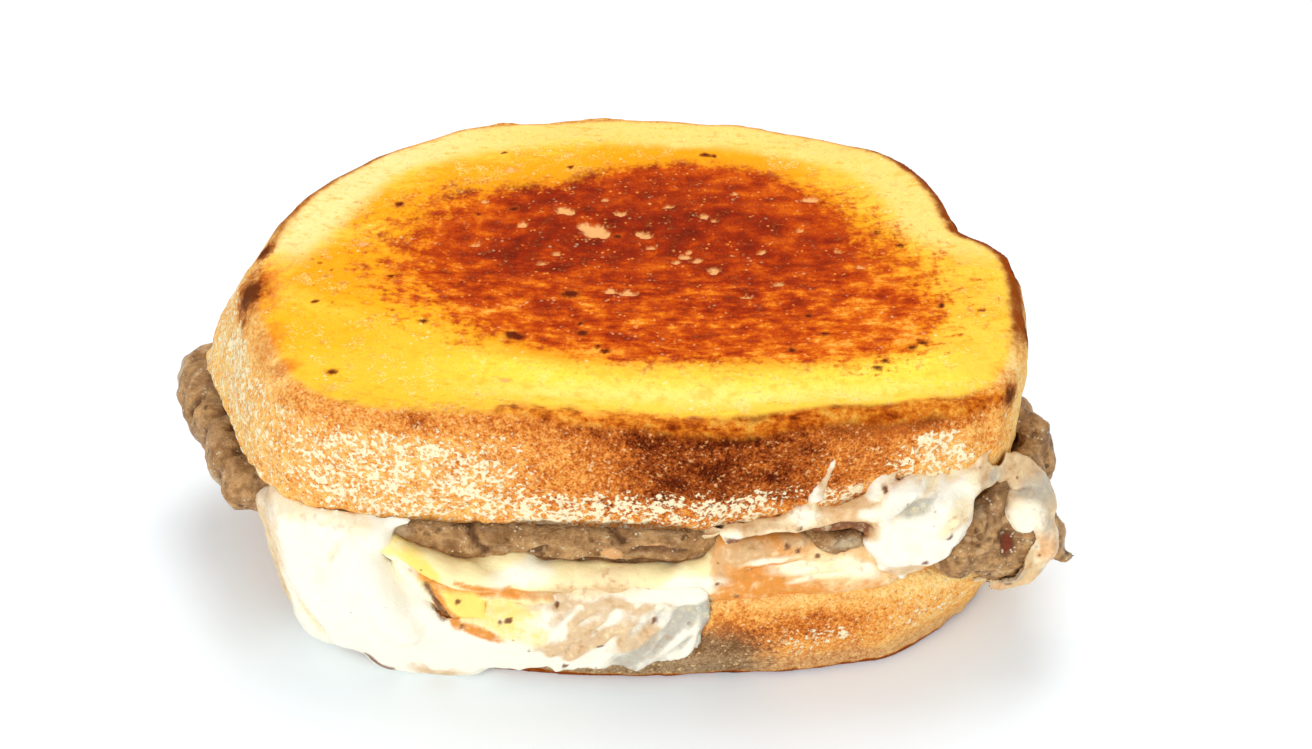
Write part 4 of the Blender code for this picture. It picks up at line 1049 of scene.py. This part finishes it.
write_fields(sauce, {
    "cream": np.maximum.reduce([
        ease(x, -60.5, -64.5) * ease(z, 33, 26) * 0.9, 0.7 * folds, 0.55 * ease(z, 31, 34.5) * ease(x, -40, -50),
        front_patches(places, (-10, 23, 12, 3, 0), (56, 36, 4, 6, -30)), sheet,
        0.8 * ease(x, 57, 60), 0.8 * front_patches(places, (52, 45.0, 10, 2.6, 0), (60, 44, 5, 4, 20)),
    ]),
    "white": np.maximum.reduce([1.2 * lump, milky,
        # The row of small spots about 20 mm up is painted glints on the sauce; the lump and the milky patches are white
        # sauce.
        specks(places, (-25.5, 20, 0.7), (-21, 20.4, 0.7), (-14.5, 19.8, 0.8), (-9.5, 19.4, 1.0), (0.5, 20, 0.7), (4.5, 19.4, 1.0)),
        1.2 * np.clip(nearness(places, [(48, -55, 33, 8, 9, 6)]), 0, 1)]),
    "lemon": yolk * (0.75 + 0.5 * cloud(places, 5, 78)) * front_patches(places, (-28.5, 16.5, 10, 4.6, -38), (-20.5, 12.6, 9, 5.4, -20), (-22, 17, 9, 3, 0)),
    "orange": np.maximum.reduce([
        1.3 * yolk * front_patches(places, (-32.4, 16.5, 1.6, 5.5, 30), (-27.5, 12.4, 5, 1.5, -32), (-28, 19.6, 10, 1.2, -4)),
        0.8 * tanned,
        0.6 * sheet * ease(x, 31, 35) * (1 - milky),
    ]),
    "tan": np.maximum.reduce([
        smear * np.clip(1.4 * front_patches(places, (-5, 14.5, 12, 5.6, -4), (-13, 9.5, 7, 3.0, 10), (-8, 19.5, 18, 2.6, 0)), 0, 1) * (0.9 + 0.9 * ribs + 0.5 * cloud(places, 3.4, 79)),
        front_patches(places, (45, 45.5, 5, 3.0, 10), (67, 15.5, 10, 3.2, 20), (48, 23.4, 7, 2.6, 0), (22.5, 35.6, 6, 1.6, 4),
                      (33.2, 45, 1.6, 6, -15), (36.5, 38.8, 4, 1.2, 0), (-35.5, 3.0, 6.5, 1.8, -4), (-6, 19.6, 16, 1.9, 0)),
        0.7 * ease(x, -61, -65), 0.6 * tanned,
        film * (0.85 + 0.5 * cloud(places, 5, 70)), 0.5 * ease(z, 42.5, 45) * ease(x, 38, 42), ease(x, -66, -70),
        sheet * (1 - milky) * (0.85 + 0.5 * cloud(places, 4, 77)),
    ]),
    "grey": np.maximum.reduce([
        # Grey: painted shade in the smear's rib dips, in the dimple and around it; also the greyish thin film over the
        # meat at the corner, and a grey patch low at the right of the smear.
        smear * front_patches(places, (7, 15, 10, 7, 40), (1, 8, 9, 6, 50), (13, 13, 3.4, 9, 0)) * np.clip(0.62 - 1.0 * ribs, 0, 1.1),
        1.4 * ease(x, 10.0, 13.5) * ease(x, 22, 18) * ease(z, 22, 19),
        dimple * 1.5, film * (0.35 - 0.7 * cloud(places, 5, 70)), 0.4 * front_patches(places, (48, 39.5, 8, 4, 38)),
    ]),
    "brown": np.maximum.reduce([
        # Brown: painted shade under the sheet's lower edge, along the heap's top under the upper slice, in the slit
        # beside the heap and in the corner ribbon's crease; the specks are real spots, and a streak runs at the foot of
        # the heap.
        1.2 * sheet * ease(z, 37, 36) * ease(x, 15, 17) * ease(normals[:, 2], 0.0, -0.4),
        front_lines(places, (1.2, (34, 35.4), (36, 36.3), (40.5, 34.6))),
        0.7 * lines_beside(places, (1.1, (-64, -38, 33.8), (-60, -44, 33.6), (-55, -47, 32.5), (-48.5, -49.5, 31.2))),
        specks(places, (55, 31.5, 1.0), (43.0, 42.4, 0.7), (44.6, 46.0, 0.6), (28.6, 35.8, 0.7), (51, 26.6, 1.0), (66, 17.5, 1.2),
               (-6, 10.5, 0.9), (-31.2, 18.9, 0.8), (-23.8, 15.1, 0.7), (-22.3, 15.4, 0.8), (-38, 18.8, 0.6), (-30.5, 13.6, 0.6),
               (-13.5, 18.9, 0.7), (3.5, 16.8, 0.8), (-12.5, 5.8, 0.8), (-19, 8.6, 0.6)),
        front_lines(places, (1.3, (-36.8, 21.4), (-35.9, 19), (-33.8, 14.8)), (1.3, (-48.5, 4.6), (-46, 3.2), (-44, 2.4))),
        lines_beside(places, (1.0, (64.6, -42.5, 36.8), (66.5, -42.5, 35.9), (69.5, -42, 36.4), (72, -41, 34.6))),
    ]),
})
place_piece(sauce, "sauce", melted("creamy_sauce", tint(245, 240, 222), tint(240, 230, 200)))
